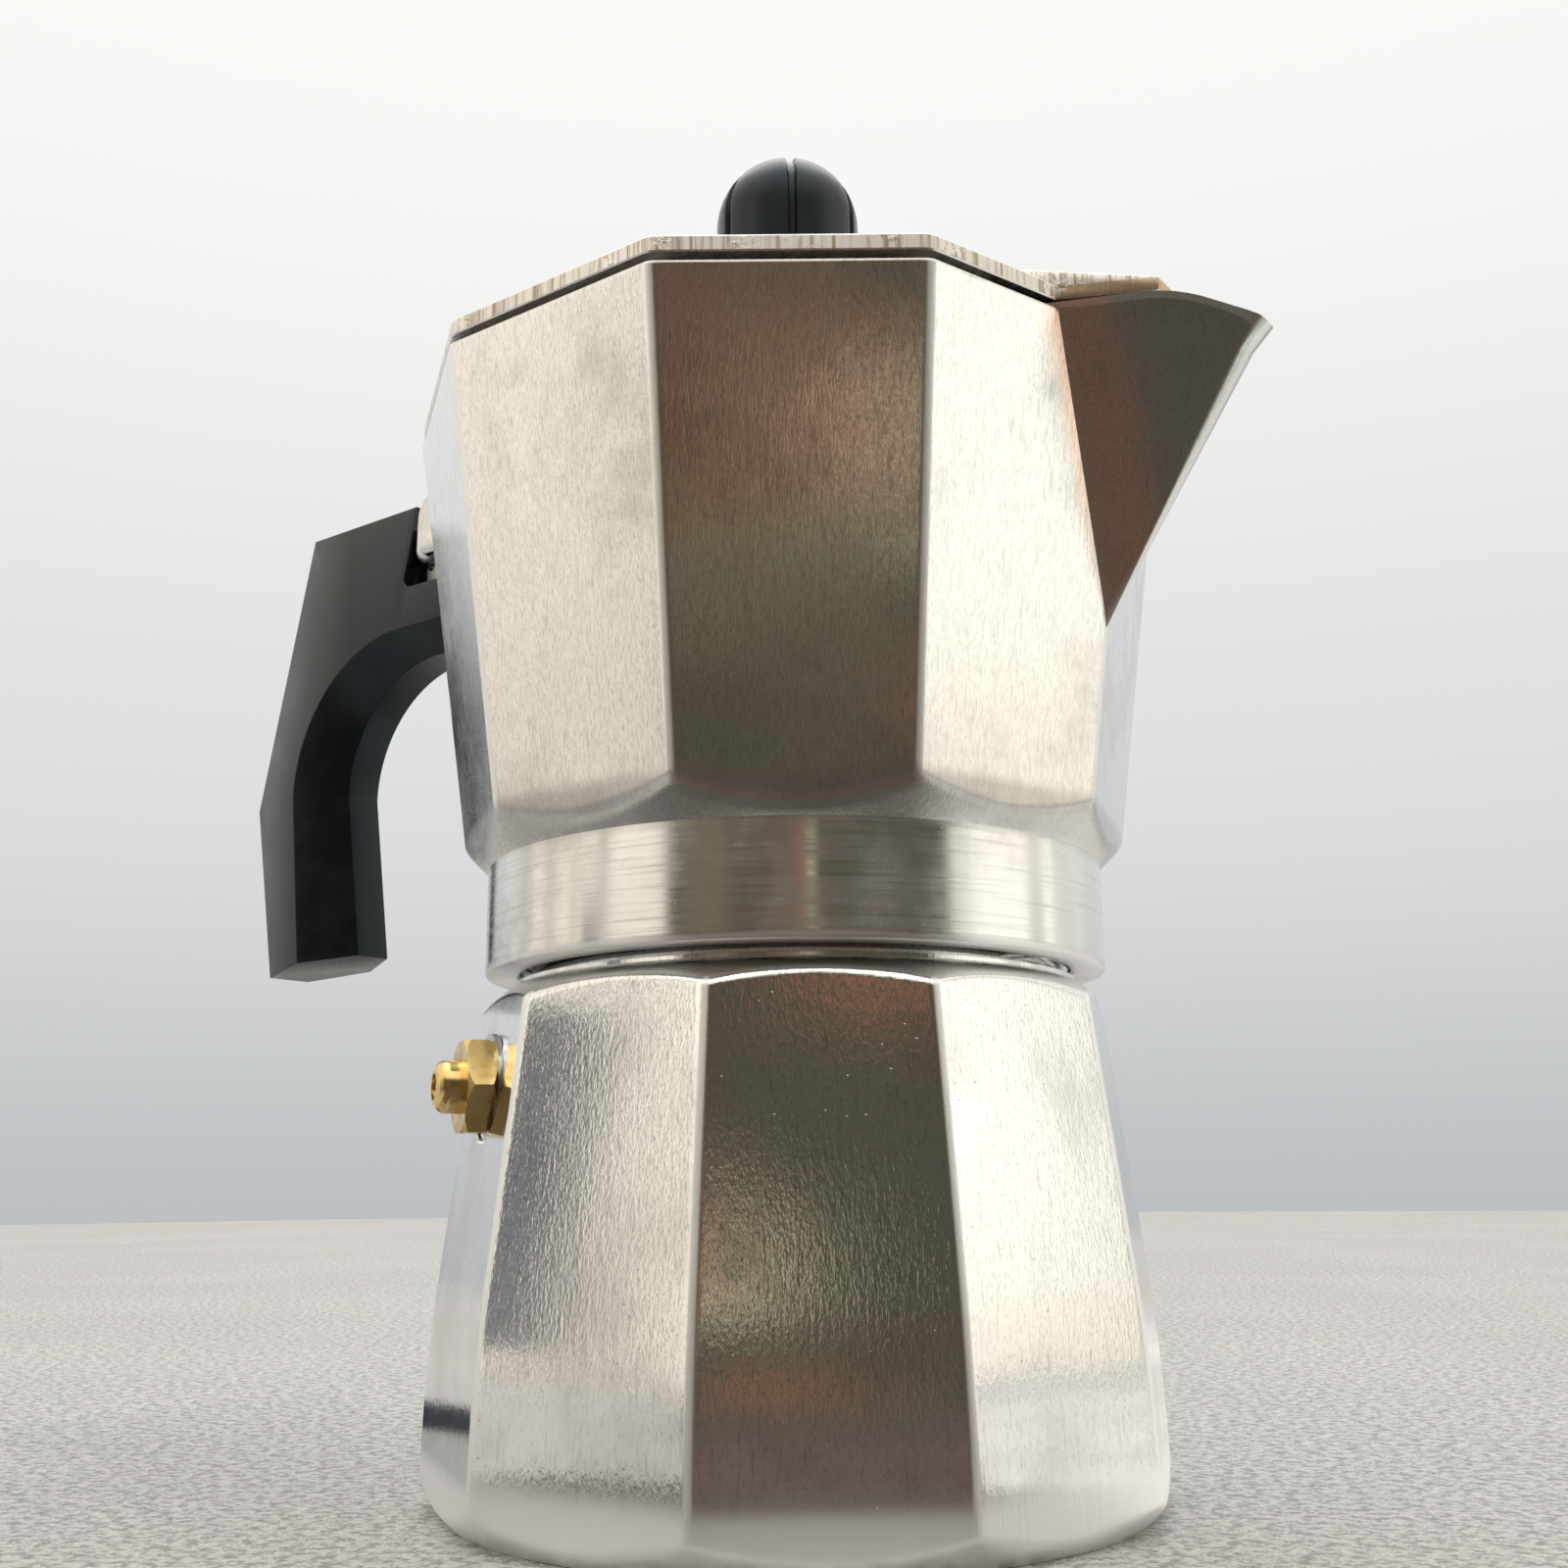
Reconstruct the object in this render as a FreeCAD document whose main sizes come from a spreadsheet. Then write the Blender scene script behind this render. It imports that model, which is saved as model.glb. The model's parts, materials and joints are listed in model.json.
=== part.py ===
"""Ten-sided aluminium moka pot.

Millimetres, +Z up. The origin is the centre of the base on the table, the spout
points along +X and the handle along -X. The collector screws onto the boiler.
"""
import FreeCAD, Part
import math
import os
import re

import Sketcher

SIDES = 10
SIDE_TURN = 360.0 / SIDES

# Driving dimensions: name, value in millimetres or degrees, what it is.
DIMENSIONS = [
    ("base_disc", 39.4, "radius of the flat disc the pot stands on"),
    ("base_corner", 42.9, "boiler corner radius at the base"),
    ("low_corner", 42.6, "boiler corner radius at low_height"),
    ("low_height", 10.0, "end of the upright lowest part"),
    ("waist_corner", 41.5, "boiler corner radius at waist_height"),
    ("waist_height", 25.0, "height where the taper becomes straight"),
    ("shoulder_corner", 37.3, "boiler corner radius at shoulder_top"),
    ("shoulder_edge", 33.5, "radius of the shoulder's upper edge"),
    ("shoulder_top", 58.0, "height of the shoulder's upper edge"),
    ("shoulder_slope", 0.69, "drop of the shoulder for each millimetre outward"),
    ("boiler_turn", 3.9, "how far the boiler's corners stand turned from the collector's"),
    ("boiler_floor", 3.0, "thickness of the boiler's floor"),
    ("neck_bore", 28.5, "bore of the boiler's neck"),
    ("neck_root", 31.6, "neck radius at the thread's root"),
    ("neck_crest", 32.7, "neck radius at the thread's crest"),
    ("neck_top", 67.5, "height of the boiler's rim"),
    ("pitch", 3.0, "thread pitch"),
    ("ridge_sink", 1.8, "width of a thread ridge at its foot, inside the wall"),
    ("ridge_crest", 0.9, "width of a thread ridge at its crest"),
    ("collar_outer", 37.0, "outer radius of the collector's round collar"),
    ("collar_bottom", 58.9, "height of the collar's mouth"),
    ("collar_top", 71.4, "height where the collar meets the facets' cone"),
    ("collar_bore", 33.0, "collar bore at the thread's root"),
    ("collar_crest", 31.9, "collar bore at the thread's crest"),
    ("seat_bore", 32.0, "bore of the gasket's seat"),
    ("seat_bottom", 68.2, "height of the lower end of the gasket's seat"),
    ("facet_foot", 40.08, "collector corner radius at collar_top"),
    ("rim_corner", 48.1, "collector corner radius at the rim"),
    ("rim_height", 128.9, "height of the collector's rim"),
    ("wall", 3.0, "wall thickness of the castings"),
    ("floor_top", 76.0, "height of the collector's floor"),
    ("plate_recess", 28.9, "radius of the filter plate's recess"),
    ("spout_low", 94.2, "height where the spout leaves the corner"),
    ("spout_low_reach", 42.8, "distance from the axis of the spout's lowest point"),
    ("spout_high", 131.0, "height of the spout's untrimmed top"),
    ("spout_high_reach", 67.15, "distance from the axis of the untrimmed keel's top"),
    ("keel_half", 2.0, "half width of the keel's flat at its untrimmed top"),
    ("spout_root", 44.58, "distance from the axis of the spout's root at the top"),
    ("spout_half", 11.64, "half width of the spout's root at the top"),
    ("spout_rim", 129.5, "height of the spout's rim beside the lid"),
    ("spout_tip", 64.3, "distance from the axis of the spout's tip"),
    ("spout_tip_drop", 5.2, "how far the tip lies below the rim"),
    ("lip_wide", 3.2, "width of the lip at the spout's tip"),
    ("rim_bend", 53.0, "distance from the axis where the rim begins to fall"),
    ("rim_round", 16.0, "radius of the falling rim"),
    ("channel_shift", 4.9, "how far the channel's ridge stands inside the keel"),
    ("channel_half", 0.6, "half width of the channel's bottom at its untrimmed top"),
    ("hinge_reach", 59.0, "distance of the hinge pin from the pot's axis"),
    ("hinge_height", 132.0, "height of the hinge pin"),
    ("pin_radius", 1.22, "radius of the hinge pin"),
    ("ear_radius", 5.0, "radius of the hinge ears"),
    ("ear_inner", 4.5, "inner face of each hinge ear"),
    ("ear_outer", 7.3, "outer face of each hinge ear"),
    ("ear_foot", 126.3, "height of the lower end of the ears' legs"),
    ("deck_bottom", 125.5, "height of the underside of the lug's deck"),
    ("deck_drop", 3.8, "how far the deck's top lies below the hinge pin"),
    ("web_half", 2.2, "half thickness of the lug's web"),
    ("web_bottom", 122.9, "height of the lower edge of the lug's web"),
    ("lug_back", 66.9, "distance from the axis of the lug's back face"),
    ("lug_thick", 4.0, "thickness of the lug's back plate"),
    ("lug_half", 5.2, "half width of the lug's back plate"),
    ("lug_top", 134.6, "height of the top of the lug's back plate"),
    ("lug_foot", 126.5, "height of the lower edge of the lug's back plate"),
    ("knuckle_radius", 3.4, "radius of the lid's knuckle"),
    ("arm_height", 131.8, "height of the middle of the handle arm"),
    ("arm_tall", 4.8, "height and width of the handle arm"),
    ("arm_reach", 80.0, "distance of the arm's end from the pot's axis"),
    ("arm_gap", 0.1, "play between the handle arm and its pocket"),
    ("lid_corner", 47.9, "corner radius of the lid"),
    ("lid_bottom", 130.0, "height of the lid's underside"),
    ("lid_edge_top", 131.9, "height of the top of the lid's edge"),
    ("lid_top", 141.0, "height of the small flat that the knob stands on"),
    ("lid_flat", 10.0, "corner radius of that flat"),
    ("lid_skin", 1.7, "thickness of the lid's roof"),
    ("lip_corner", 44.3, "corner radius of the lip under the lid"),
    ("tongue_reach", 54.4, "distance from the axis of the lid's tongue end"),
    ("knob_radius", 9.5, "radius of the knob and of its dome"),
    ("knob_dome", 160.0, "height of the centre of the knob's dome"),
    ("knob_neck", 5.6, "radius of the knob's neck"),
    ("knob_groove", 0.6, "depth of the knob's upright grooves"),
    ("knob_groove_wide", 1.0, "width of the knob's upright grooves"),
    ("knob_groove_turn", -50.0, "direction of the first groove round the knob"),
    ("knob_bore", 3.25, "bore for the knob's insert"),
    ("insert_bore", 2.03, "bore of the knob's insert"),
    ("knob_screw_shank", 2.0, "radius of the knob screw's shank"),
    ("knob_screw_head", 4.0, "radius of the knob screw's head"),
    ("knob_washer_outer", 5.0, "radius of the washer under the knob screw"),
    ("washer_thick", 0.4, "thickness of the small washers"),
    ("handle_top", 136.4, "height of the handle's top flat"),
    ("handle_shoulder", 92.0, "distance from the axis of the handle's top corner"),
    ("handle_elbow", 102.1, "distance from the axis of the handle's elbow"),
    ("handle_elbow_height", 93.0, "height of the elbow"),
    ("handle_foot", 96.8, "distance from the axis of the grip's outer foot"),
    ("handle_foot_height", 66.2, "height of the grip's outer foot"),
    ("handle_half", 7.0, "half thickness of the grip at its side ridge"),
    ("handle_outer_half", 3.6, "half width of the grip's outer flat"),
    ("handle_inner_half", 2.8, "half width of the grip's inner flat"),
    ("ridge_arch", 22.6, "arch radius of the side ridge"),
    ("finger_arch", 18.8, "arch radius of the finger side"),
    ("ridge_centre", 66.8, "distance from the axis of the side ridge's arch centre"),
    ("finger_centre", 62.6, "distance from the axis of the finger arch's centre"),
    ("fan_centre", 65.0, "distance from the axis of the point the grip's sections fan out from"),
    ("prong_end", 49.5, "distance from the axis of the handle's end beside the collector"),
    ("grip_inner_foot", 77.4, "distance from the axis of the grip's inner foot"),
    ("grip_foot_rise", 2.0, "how far the inner foot stands above the outer foot"),
    ("notch_end", 67.9, "distance from the axis where the handle's crown ends above its notch"),
    ("notch_floor", 122.4, "height of the notch's floor"),
    ("handle_head_bore", 3.1, "radius of the counterbore for the handle's screw"),
    ("handle_shank_bore", 1.65, "radius of the hole for the handle's screw"),
    ("handle_screw_head", 2.75, "radius of the handle screw's head"),
    ("handle_screw_shank", 1.5, "radius of the handle screw's shank"),
    ("handle_screw_reach", 90.5, "distance from the axis of the outer end of the handle's screw"),
    ("handle_washer_reach", 88.4, "distance from the axis of the outer face of the handle's washer"),
    ("valve_turn", -122.1, "direction of the safety valve round the pot"),
    ("valve_height", 45.7, "height of the valve's axis"),
    ("valve_seat", 36.5, "distance of the valve's spot face from the pot's axis"),
    ("valve_flats", 10.0, "valve hexagon across flats"),
    ("valve_shank", 3.4, "radius of the valve's shank"),
    ("valve_bore", 2.3, "bore of the valve"),
    ("valve_head", 3.2, "thickness of the valve's hexagon"),
    ("valve_ring", 2.95, "radius of the valve's round end"),
    ("valve_round", 1.4, "rounding of the valve's round end"),
    ("valve_mouth", 1.45, "radius of the hole in the valve's end"),
    ("plunger_pin", 1.36, "radius of the plunger's pin"),
    ("plunger_disc", 2.1, "radius of the plunger's disc"),
    ("retainer_bore", 1.1, "bore of the bush that holds the spring"),
    ("spring_radius", 1.84, "radius of the spring's coil"),
    ("spring_pitch", 1.0, "pitch of the spring's coil"),
    ("spring_long", 4.6, "length of the spring"),
    ("spring_wire", 0.2, "radius of the spring's wire"),
    ("basket_outer", 27.6, "outer radius of the coffee basket"),
    ("basket_bottom", 45.5, "height of the basket's underside"),
    ("basket_skin", 0.8, "sheet thickness of the basket and its stem"),
    ("stem_outer", 4.0, "outer radius of the funnel's stem"),
    ("stem_bottom", 6.0, "height of the stem's open end"),
    ("screen_hole", 0.8, "radius of the holes in the basket's screen"),
    ("filter_hole", 0.7, "radius of the holes in the filter plate"),
    ("gasket_bore", 26.2, "bore of the gasket"),
    ("column_top", 121.0, "height of the column's closed top"),
    ("column_foot", 6.0, "radius of the column where it passes through the floor"),
    ("column_tip", 4.4, "radius of the column below its closed top"),
    ("column_bore", 3.2, "bore of the column"),
    ("column_flange", 9.0, "radius of the column's flange on the floor"),
]

DOC = FreeCAD.newDocument("moka_pot")
ALIASES = {name for name, _, _ in DIMENSIONS}
NODES = []


def fill_sheet():
    """Put the driving dimensions in the sheet, one row each, with an alias."""
    sheet = DOC.addObject("Spreadsheet::Sheet", "dims")
    for row, (name, value, meaning) in enumerate(DIMENSIONS, start=1):
        sheet.set(f"A{row}", meaning)
        sheet.set(f"B{row}", str(value))
        sheet.setAlias(f"B{row}", name)
    DOC.recompute()
    return sheet


SHEET = fill_sheet()


def bound(text):
    """An expression over the sheet, from one written with bare names."""
    def qualified(word):
        return "dims." + word[0] if word[0] in ALIASES else word[0]

    return re.sub(r"[a-z_]+", qualified, str(text))


def size(text):
    """The present value of an expression."""
    return float(SHEET.evalExpression(bound(text)))


def bind(thing, **expressions):
    """Bind properties of a document object to expressions."""
    for prop, text in expressions.items():
        thing.setExpression(prop, bound(text))
    return thing


def place(thing, x="0", y="0", z="0"):
    """Bind a thing's position to expressions."""
    thing.setExpression("Placement.Base.x", bound(x))
    thing.setExpression("Placement.Base.y", bound(y))
    thing.setExpression("Placement.Base.z", bound(z))
    return thing


def face_along(thing, direction):
    """Turn a thing whose own axis is +Z so that it points along a direction."""
    thing.Placement.Rotation = FreeCAD.Rotation(FreeCAD.Vector(0, 0, 1), FreeCAD.Vector(*direction))
    return thing


def box(name, x_low, x_high, y_low, y_high, z_low, z_high):
    """A box between two corners given as expressions."""
    solid = DOC.addObject("Part::Box", name)
    bind(solid, Length=f"({x_high}) - ({x_low})", Width=f"({y_high}) - ({y_low})",
         Height=f"({z_high}) - ({z_low})")
    return place(solid, x_low, y_low, z_low)


def rod(name, radius, length, start=("0", "0", "0"), direction=(0, 0, 1)):
    """A cylinder of a given length from its start point along a direction."""
    solid = DOC.addObject("Part::Cylinder", name)
    bind(solid, Radius=radius, Height=length)
    face_along(solid, direction)
    return place(solid, *start)


def join(name, *pieces):
    """The union of several solids."""
    union = DOC.addObject("Part::MultiFuse", name)
    union.Shapes = list(pieces)
    return union


def cut(name, base, *tools):
    """A base with one or more tools taken away."""
    difference = DOC.addObject("Part::Cut", name)
    difference.Base = base
    difference.Tool = tools[0] if len(tools) == 1 else join(name + "_tools", *tools)
    return difference


def common(name, *pieces):
    """What several solids share."""
    shared = DOC.addObject("Part::MultiCommon", name)
    shared.Shapes = list(pieces)
    return shared


def polygon(name, corner, height, turn="0", sides=SIDES):
    """A level regular polygon wire, bound to its corner radius and height."""
    wire = DOC.addObject("Part::RegularPolygon", name)
    wire.Polygon = sides
    bind(wire, Circumradius=corner)
    wire.Placement.Rotation = FreeCAD.Rotation(FreeCAD.Vector(0, 0, 1), size(turn))
    return place(wire, z=height)


def faceted(name, stations, turn="0"):
    """A ten-sided solid through (corner radius, height) stations."""
    loft = DOC.addObject("Part::Loft", name)
    loft.Sections = [polygon(f"{name}_ring_{index}", corner, height, turn)
                     for index, (corner, height) in enumerate(stations)]
    loft.Solid = True
    loft.Ruled = True
    return loft


def pin_point(sketch, geometry, end, x, y):
    """Fix one end of a sketch line by expressions, on the axes where they are zero."""
    for kind, text, axis in (("DistanceX", x, -2), ("DistanceY", y, -1)):
        if abs(size(text)) < 1e-9:
            sketch.addConstraint(Sketcher.Constraint("PointOnObject", geometry, end, axis))
            continue
        spot = sketch.addConstraint(Sketcher.Constraint(kind, -1, 1, geometry, end, size(text)))
        sketch.setExpression(f"Constraints[{spot}]", bound(text))


def arc_between(start, end, radius, side):
    """An arc of a given radius from start to end, bulging to its left (1) or right (-1)."""
    middle = (start + end) * 0.5
    chord = end - start
    normal = FreeCAD.Vector(-chord.y, chord.x, 0).normalize() * side
    rise = radius - math.sqrt(radius ** 2 - (chord.Length / 2) ** 2)
    return Part.Arc(start, middle + normal * rise, end)


def draw(sketch, points):
    """Draw a closed outline. A point is (x, y) or (x, y, radius, side) for an arc that ends there."""
    corners = [FreeCAD.Vector(size(point[0]), size(point[1]), 0) for point in points]
    for index, point in enumerate(points):
        start = corners[index - 1]
        if len(point) == 2:
            sketch.addGeometry(Part.LineSegment(start, corners[index]))
        else:
            sketch.addGeometry(arc_between(start, corners[index], size(point[2]), point[3]))
    ends = []
    for index, point in enumerate(points):
        if len(point) == 2:
            ends.append((1, 2))
            continue
        arc = sketch.Geometry[index]
        forward = arc.EndPoint.distanceToPoint(corners[index]) < 1e-6
        ends.append((1, 2) if forward else (2, 1))
    for index in range(len(points)):
        following = (index + 1) % len(points)
        meeting = (index, ends[index][1], following, ends[following][0])
        sketch.addConstraint(Sketcher.Constraint("Coincident", *meeting))
    for index, point in enumerate(points):
        pin_point(sketch, index, ends[index][1], point[0], point[1])
        if len(point) == 4:
            spot = sketch.addConstraint(Sketcher.Constraint("Radius", index, size(point[2])))
            sketch.setExpression(f"Constraints[{spot}]", bound(point[2]))


def origin_plane(body, role):
    """One of a body's own origin planes."""
    return next(feature for feature in body.Origin.OriginFeatures if feature.Role == role)


def body_sketch(body, name, role, points):
    """A sketch on one of the body's origin planes, with one closed outline."""
    sketch = body.newObject("Sketcher::SketchObject", name)
    sketch.AttachmentSupport = (origin_plane(body, role), [""])
    sketch.MapMode = "FlatFace"
    draw(sketch, points)
    return sketch


def turned(name, points):
    """A body turned about Z from an outline of (radius, height) points."""
    body = DOC.addObject("PartDesign::Body", name)
    sketch = body_sketch(body, name + "_outline", "XZ_Plane", points)
    revolution = body.newObject("PartDesign::Revolution", name + "_turned")
    revolution.Profile = sketch
    revolution.ReferenceAxis = (sketch, ["V_Axis"])
    revolution.Angle = 360.0
    body.Tip = revolution
    return body


def extruded(name, role, points, length):
    """A body padded both ways from an origin plane."""
    body = DOC.addObject("PartDesign::Body", name)
    sketch = body_sketch(body, name + "_outline", role, points)
    pad = body.newObject("PartDesign::Pad", name + "_pad")
    pad.Profile = sketch
    pad.Midplane = True
    bind(pad, Length=length)
    body.Tip = pad
    return body


def bind_radius(sketch, radius):
    """Fix the radius of a sketch's first circle by an expression."""
    spot = sketch.addConstraint(Sketcher.Constraint("Radius", 0, size(radius)))
    sketch.setExpression(f"Constraints[{spot}]", bound(radius))


def drilled_disc(name, radius, low, high, rings, ring_step, hole):
    """A turned disc with a middle hole and rings of holes, six more in each ring."""
    body = turned(name, [("0", low), (radius, low), (radius, high), ("0", high)])
    centre = body_sketch(body, name + "_middle", "XY_Plane", [])
    centre.addGeometry(Part.Circle(FreeCAD.Vector(0, 0, 0), FreeCAD.Vector(0, 0, 1), size(hole)))
    centre.addConstraint(Sketcher.Constraint("Coincident", 0, 3, -1, 1))
    bind_radius(centre, hole)
    through_all(body, name + "_middle_hole", centre)
    for ring in range(1, rings + 1):
        sketch = body_sketch(body, f"{name}_ring_{ring}", "XY_Plane", [])
        spot = FreeCAD.Vector(ring * ring_step, 0, 0)
        sketch.addGeometry(Part.Circle(spot, FreeCAD.Vector(0, 0, 1), size(hole)))
        sketch.addConstraint(Sketcher.Constraint("PointOnObject", 0, 3, -1))
        sketch.addConstraint(Sketcher.Constraint("DistanceX", -1, 1, 0, 3, ring * ring_step))
        bind_radius(sketch, hole)
        pocket = through_all(body, f"{name}_hole_{ring}", sketch)
        pattern = body.newObject("PartDesign::PolarPattern", f"{name}_pattern_{ring}")
        pattern.Originals = [pocket]
        pattern.Axis = (sketch, ["N_Axis"])
        pattern.Angle = 360.0
        pattern.Occurrences = 6 * ring
        body.Tip = pattern
    return body


def through_all(body, name, sketch):
    """A pocket through the whole body, upward from the base plane."""
    pocket = body.newObject("PartDesign::Pocket", name)
    pocket.Profile = sketch
    pocket.Type = "ThroughAll"
    pocket.Midplane = True
    body.Tip = pocket
    return pocket


def thread_ridge(name, root, crest, low, turns):
    """A helical ridge with sloping flanks, sunk into its wall behind the root."""
    helix = DOC.addObject("Part::Helix", name + "_path")
    bind(helix, Pitch="pitch", Height=f"pitch * {turns}", Radius="neck_root")
    place(helix, z=low)
    section = DOC.addObject("Sketcher::SketchObject", name + "_section")
    section.Placement.Rotation = FreeCAD.Rotation(FreeCAD.Vector(1, 0, 0), 90)
    sink = f"{root} + ({root} - {crest}) * 0.3"
    draw(section, [
        (sink, f"{low} - ridge_sink / 2"),
        (crest, f"{low} - ridge_crest / 2"),
        (crest, f"{low} + ridge_crest / 2"),
        (sink, f"{low} + ridge_sink / 2"),
    ])
    sweep = DOC.addObject("Part::Sweep", name)
    sweep.Sections = [section]
    sweep.Spine = (helix, [])
    sweep.Solid = True
    sweep.Frenet = True
    return sweep


def node(thing, label):
    """Make an object one of the pot's sub-parts."""
    thing.Label = label
    NODES.append(thing)
    return thing


# ---------------------------------------------------------------- boiler

def on_valve_axis(thing):
    """Lay a thing turned about Z along the valve's axis."""
    angle = math.radians(size("valve_turn"))
    face_along(thing, (math.cos(angle), math.sin(angle), 0))
    return place(thing, z="valve_height")


def make_boiler():
    facets = faceted("boiler_facets", [
        ("base_corner", "0"),
        ("low_corner", "low_height"),
        ("waist_corner", "waist_height"),
        ("shoulder_corner", "shoulder_top"),
    ], "boiler_turn")
    envelope = turned("boiler_envelope", [
        ("0", "0"),
        ("base_disc", "0"),
        ("base_disc + 6", "6"),
        ("base_disc + 6", "shoulder_top - (base_disc + 6 - shoulder_edge) * shoulder_slope"),
        ("shoulder_edge", "shoulder_top - 0.4"),
        ("shoulder_edge", "shoulder_top"),
        ("0", "shoulder_top"),
    ])
    shell = common("boiler_shell", facets, envelope)
    neck = rod("boiler_neck", "neck_root", "neck_top - 50", ("0", "0", "50"))
    ridge = thread_ridge("boiler_thread", "neck_root", "neck_crest", "collar_bottom + 0.5", 2.3)
    cavity = turned("boiler_cavity", [
        ("0", "boiler_floor"),
        ("neck_bore + 7.8", "boiler_floor"),
        ("neck_bore + 8.8", "boiler_floor + 5"),
        ("neck_bore + 7.7", "waist_height"),
        ("neck_bore + 3.9", "50"),
        ("neck_bore", "shoulder_top - 0.5"),
        ("neck_bore", "neck_top + 1"),
        ("0", "neck_top + 1"),
    ])
    valve_hole = on_valve_axis(turned("valve_hole", [
        ("0", "valve_seat - 8"),
        ("valve_shank + 0.02", "valve_seat - 8"),
        ("valve_shank + 0.02", "valve_seat"),
        ("valve_flats / 2 + 1.3", "valve_seat"),
        ("valve_flats / 2 + 1.3", "valve_seat + 5"),
        ("0", "valve_seat + 5"),
    ]))
    return cut("boiler_solid", join("boiler_whole", shell, neck, ridge), cavity, valve_hole)


# ---------------------------------------------------------------- safety valve

def make_valve_body():
    hexagon = DOC.addObject("Part::Prism", "valve_hexagon")
    hexagon.Polygon = 6
    bind(hexagon, Circumradius="valve_flats / 2 / cos(30)", Height="valve_head")
    hexagon.Placement.Rotation = FreeCAD.Rotation(FreeCAD.Vector(0, 0, 1), size("valve_turn") + 90)
    place(hexagon, z="valve_seat + 0.6")
    crown = turned("valve_crown", [
        ("0", "valve_seat + 0.6"),
        ("valve_flats / 2 + 0.1", "valve_seat + 0.6"),
        ("valve_flats / 2 + 0.8", "valve_seat + 1.2"),
        ("valve_flats / 2 + 0.8", "valve_seat + valve_head"),
        ("valve_flats / 2 + 0.1", "valve_seat + valve_head + 0.6"),
        ("0", "valve_seat + valve_head + 0.6"),
    ])
    head = common("valve_head", hexagon, crown)
    ring = turned("valve_ring", [
        ("0", "valve_seat + 3"),
        ("valve_ring", "valve_seat + 3"),
        ("valve_ring", "valve_seat + 6.6 - valve_round"),
        ("valve_ring - valve_round", "valve_seat + 6.6", "valve_round", -1),
        ("0", "valve_seat + 6.6"),
    ])
    shank = rod("valve_shank_rod", "valve_shank", "6.8", ("0", "0", "valve_seat - 6"))
    hollow = turned("valve_hollow", [
        ("0", "valve_seat - 7"),
        ("valve_bore", "valve_seat - 7"),
        ("valve_bore", "valve_seat + 4.4"),
        ("valve_mouth", "valve_seat + 4.4"),
        ("valve_mouth", "valve_seat + 7"),
        ("0", "valve_seat + 7"),
    ])
    return on_valve_axis(cut("valve_solid", join("valve_whole", head, ring, shank), hollow))


def make_valve_washer():
    return on_valve_axis(turned("valve_washer_ring", [
        ("valve_shank + 0.05", "valve_seat"),
        ("valve_flats / 2 + 0.9", "valve_seat"),
        ("valve_flats / 2 + 0.9", "valve_seat + 0.6"),
        ("valve_shank + 0.05", "valve_seat + 0.6"),
    ]))


def make_valve_plunger():
    return on_valve_axis(turned("valve_plunger_pin", [
        ("0", "valve_seat - 3.6"),
        ("plunger_disc", "valve_seat - 3.6"),
        ("plunger_disc", "valve_seat - 2.4"),
        ("plunger_pin", "valve_seat - 2.4"),
        ("plunger_pin", "valve_seat + 6.1"),
        ("0", "valve_seat + 6.4"),
    ]))


def make_valve_retainer():
    return on_valve_axis(turned("valve_retainer_bush", [
        ("retainer_bore", "valve_seat - 6"),
        ("valve_bore - 0.02", "valve_seat - 6"),
        ("valve_bore - 0.02", "valve_seat - 3.8"),
        ("retainer_bore", "valve_seat - 3.8"),
    ]))


def make_valve_spring():
    """A coil spring round the plunger, drawn at the length it has with the valve open."""
    path = DOC.addObject("Part::Helix", "valve_spring_path")
    bind(path, Pitch="spring_pitch", Height="spring_long", Radius="spring_radius")
    place(path, z="valve_seat - 2.1")
    wire = polygon("valve_spring_wire", "spring_wire", "valve_seat - 2.1", sides=8)
    wire.Placement.Rotation = FreeCAD.Rotation(FreeCAD.Vector(1, 0, 0), 90)
    place(wire, "spring_radius", "0", "valve_seat - 2.1")
    coil = DOC.addObject("Part::Sweep", "valve_spring_coil")
    coil.Sections = [wire]
    coil.Spine = (path, [])
    coil.Solid = True
    coil.Frenet = True
    return on_valve_axis(coil)


# ---------------------------------------------------------------- funnel

def make_funnel_basket():
    return turned("funnel_basket_body", [
        ("stem_outer - basket_skin", "basket_bottom"),
        ("basket_outer", "basket_bottom"),
        ("basket_outer", "neck_top"),
        ("neck_root - 0.6", "neck_top"),
        ("neck_root - 0.6", "neck_top + 0.9"),
        ("basket_outer - basket_skin", "neck_top + 0.9"),
        ("basket_outer - basket_skin", "basket_bottom + basket_skin"),
        ("stem_outer - basket_skin", "basket_bottom + basket_skin"),
    ])


def make_funnel_stem():
    return turned("funnel_stem_body", [
        ("stem_outer - basket_skin", "stem_bottom"),
        ("stem_outer", "stem_bottom"),
        ("stem_outer", "basket_bottom - 3"),
        ("stem_outer * 2", "basket_bottom - basket_skin"),
        ("stem_outer * 2", "basket_bottom"),
        ("stem_outer - basket_skin", "basket_bottom"),
    ])


def make_funnel_screen():
    return drilled_disc("funnel_screen_body", "basket_outer - basket_skin - 0.2",
                        "basket_bottom + basket_skin", "basket_bottom + basket_skin * 2",
                        rings=4, ring_step=5.2, hole="screen_hole")


def make_filter_plate():
    return drilled_disc("filter_plate_body", "plate_recess - 0.3", "collar_top - 0.1", "collar_top + 0.6",
                        rings=4, ring_step=5.4, hole="filter_hole")


def make_gasket():
    return turned("gasket_body", [
        ("gasket_bore", "neck_top + 1"),
        ("seat_bore - 0.4", "neck_top + 1"),
        ("seat_bore - 0.4", "collar_top - 0.1"),
        ("gasket_bore", "collar_top - 0.1"),
    ])


# ---------------------------------------------------------------- collector

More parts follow.
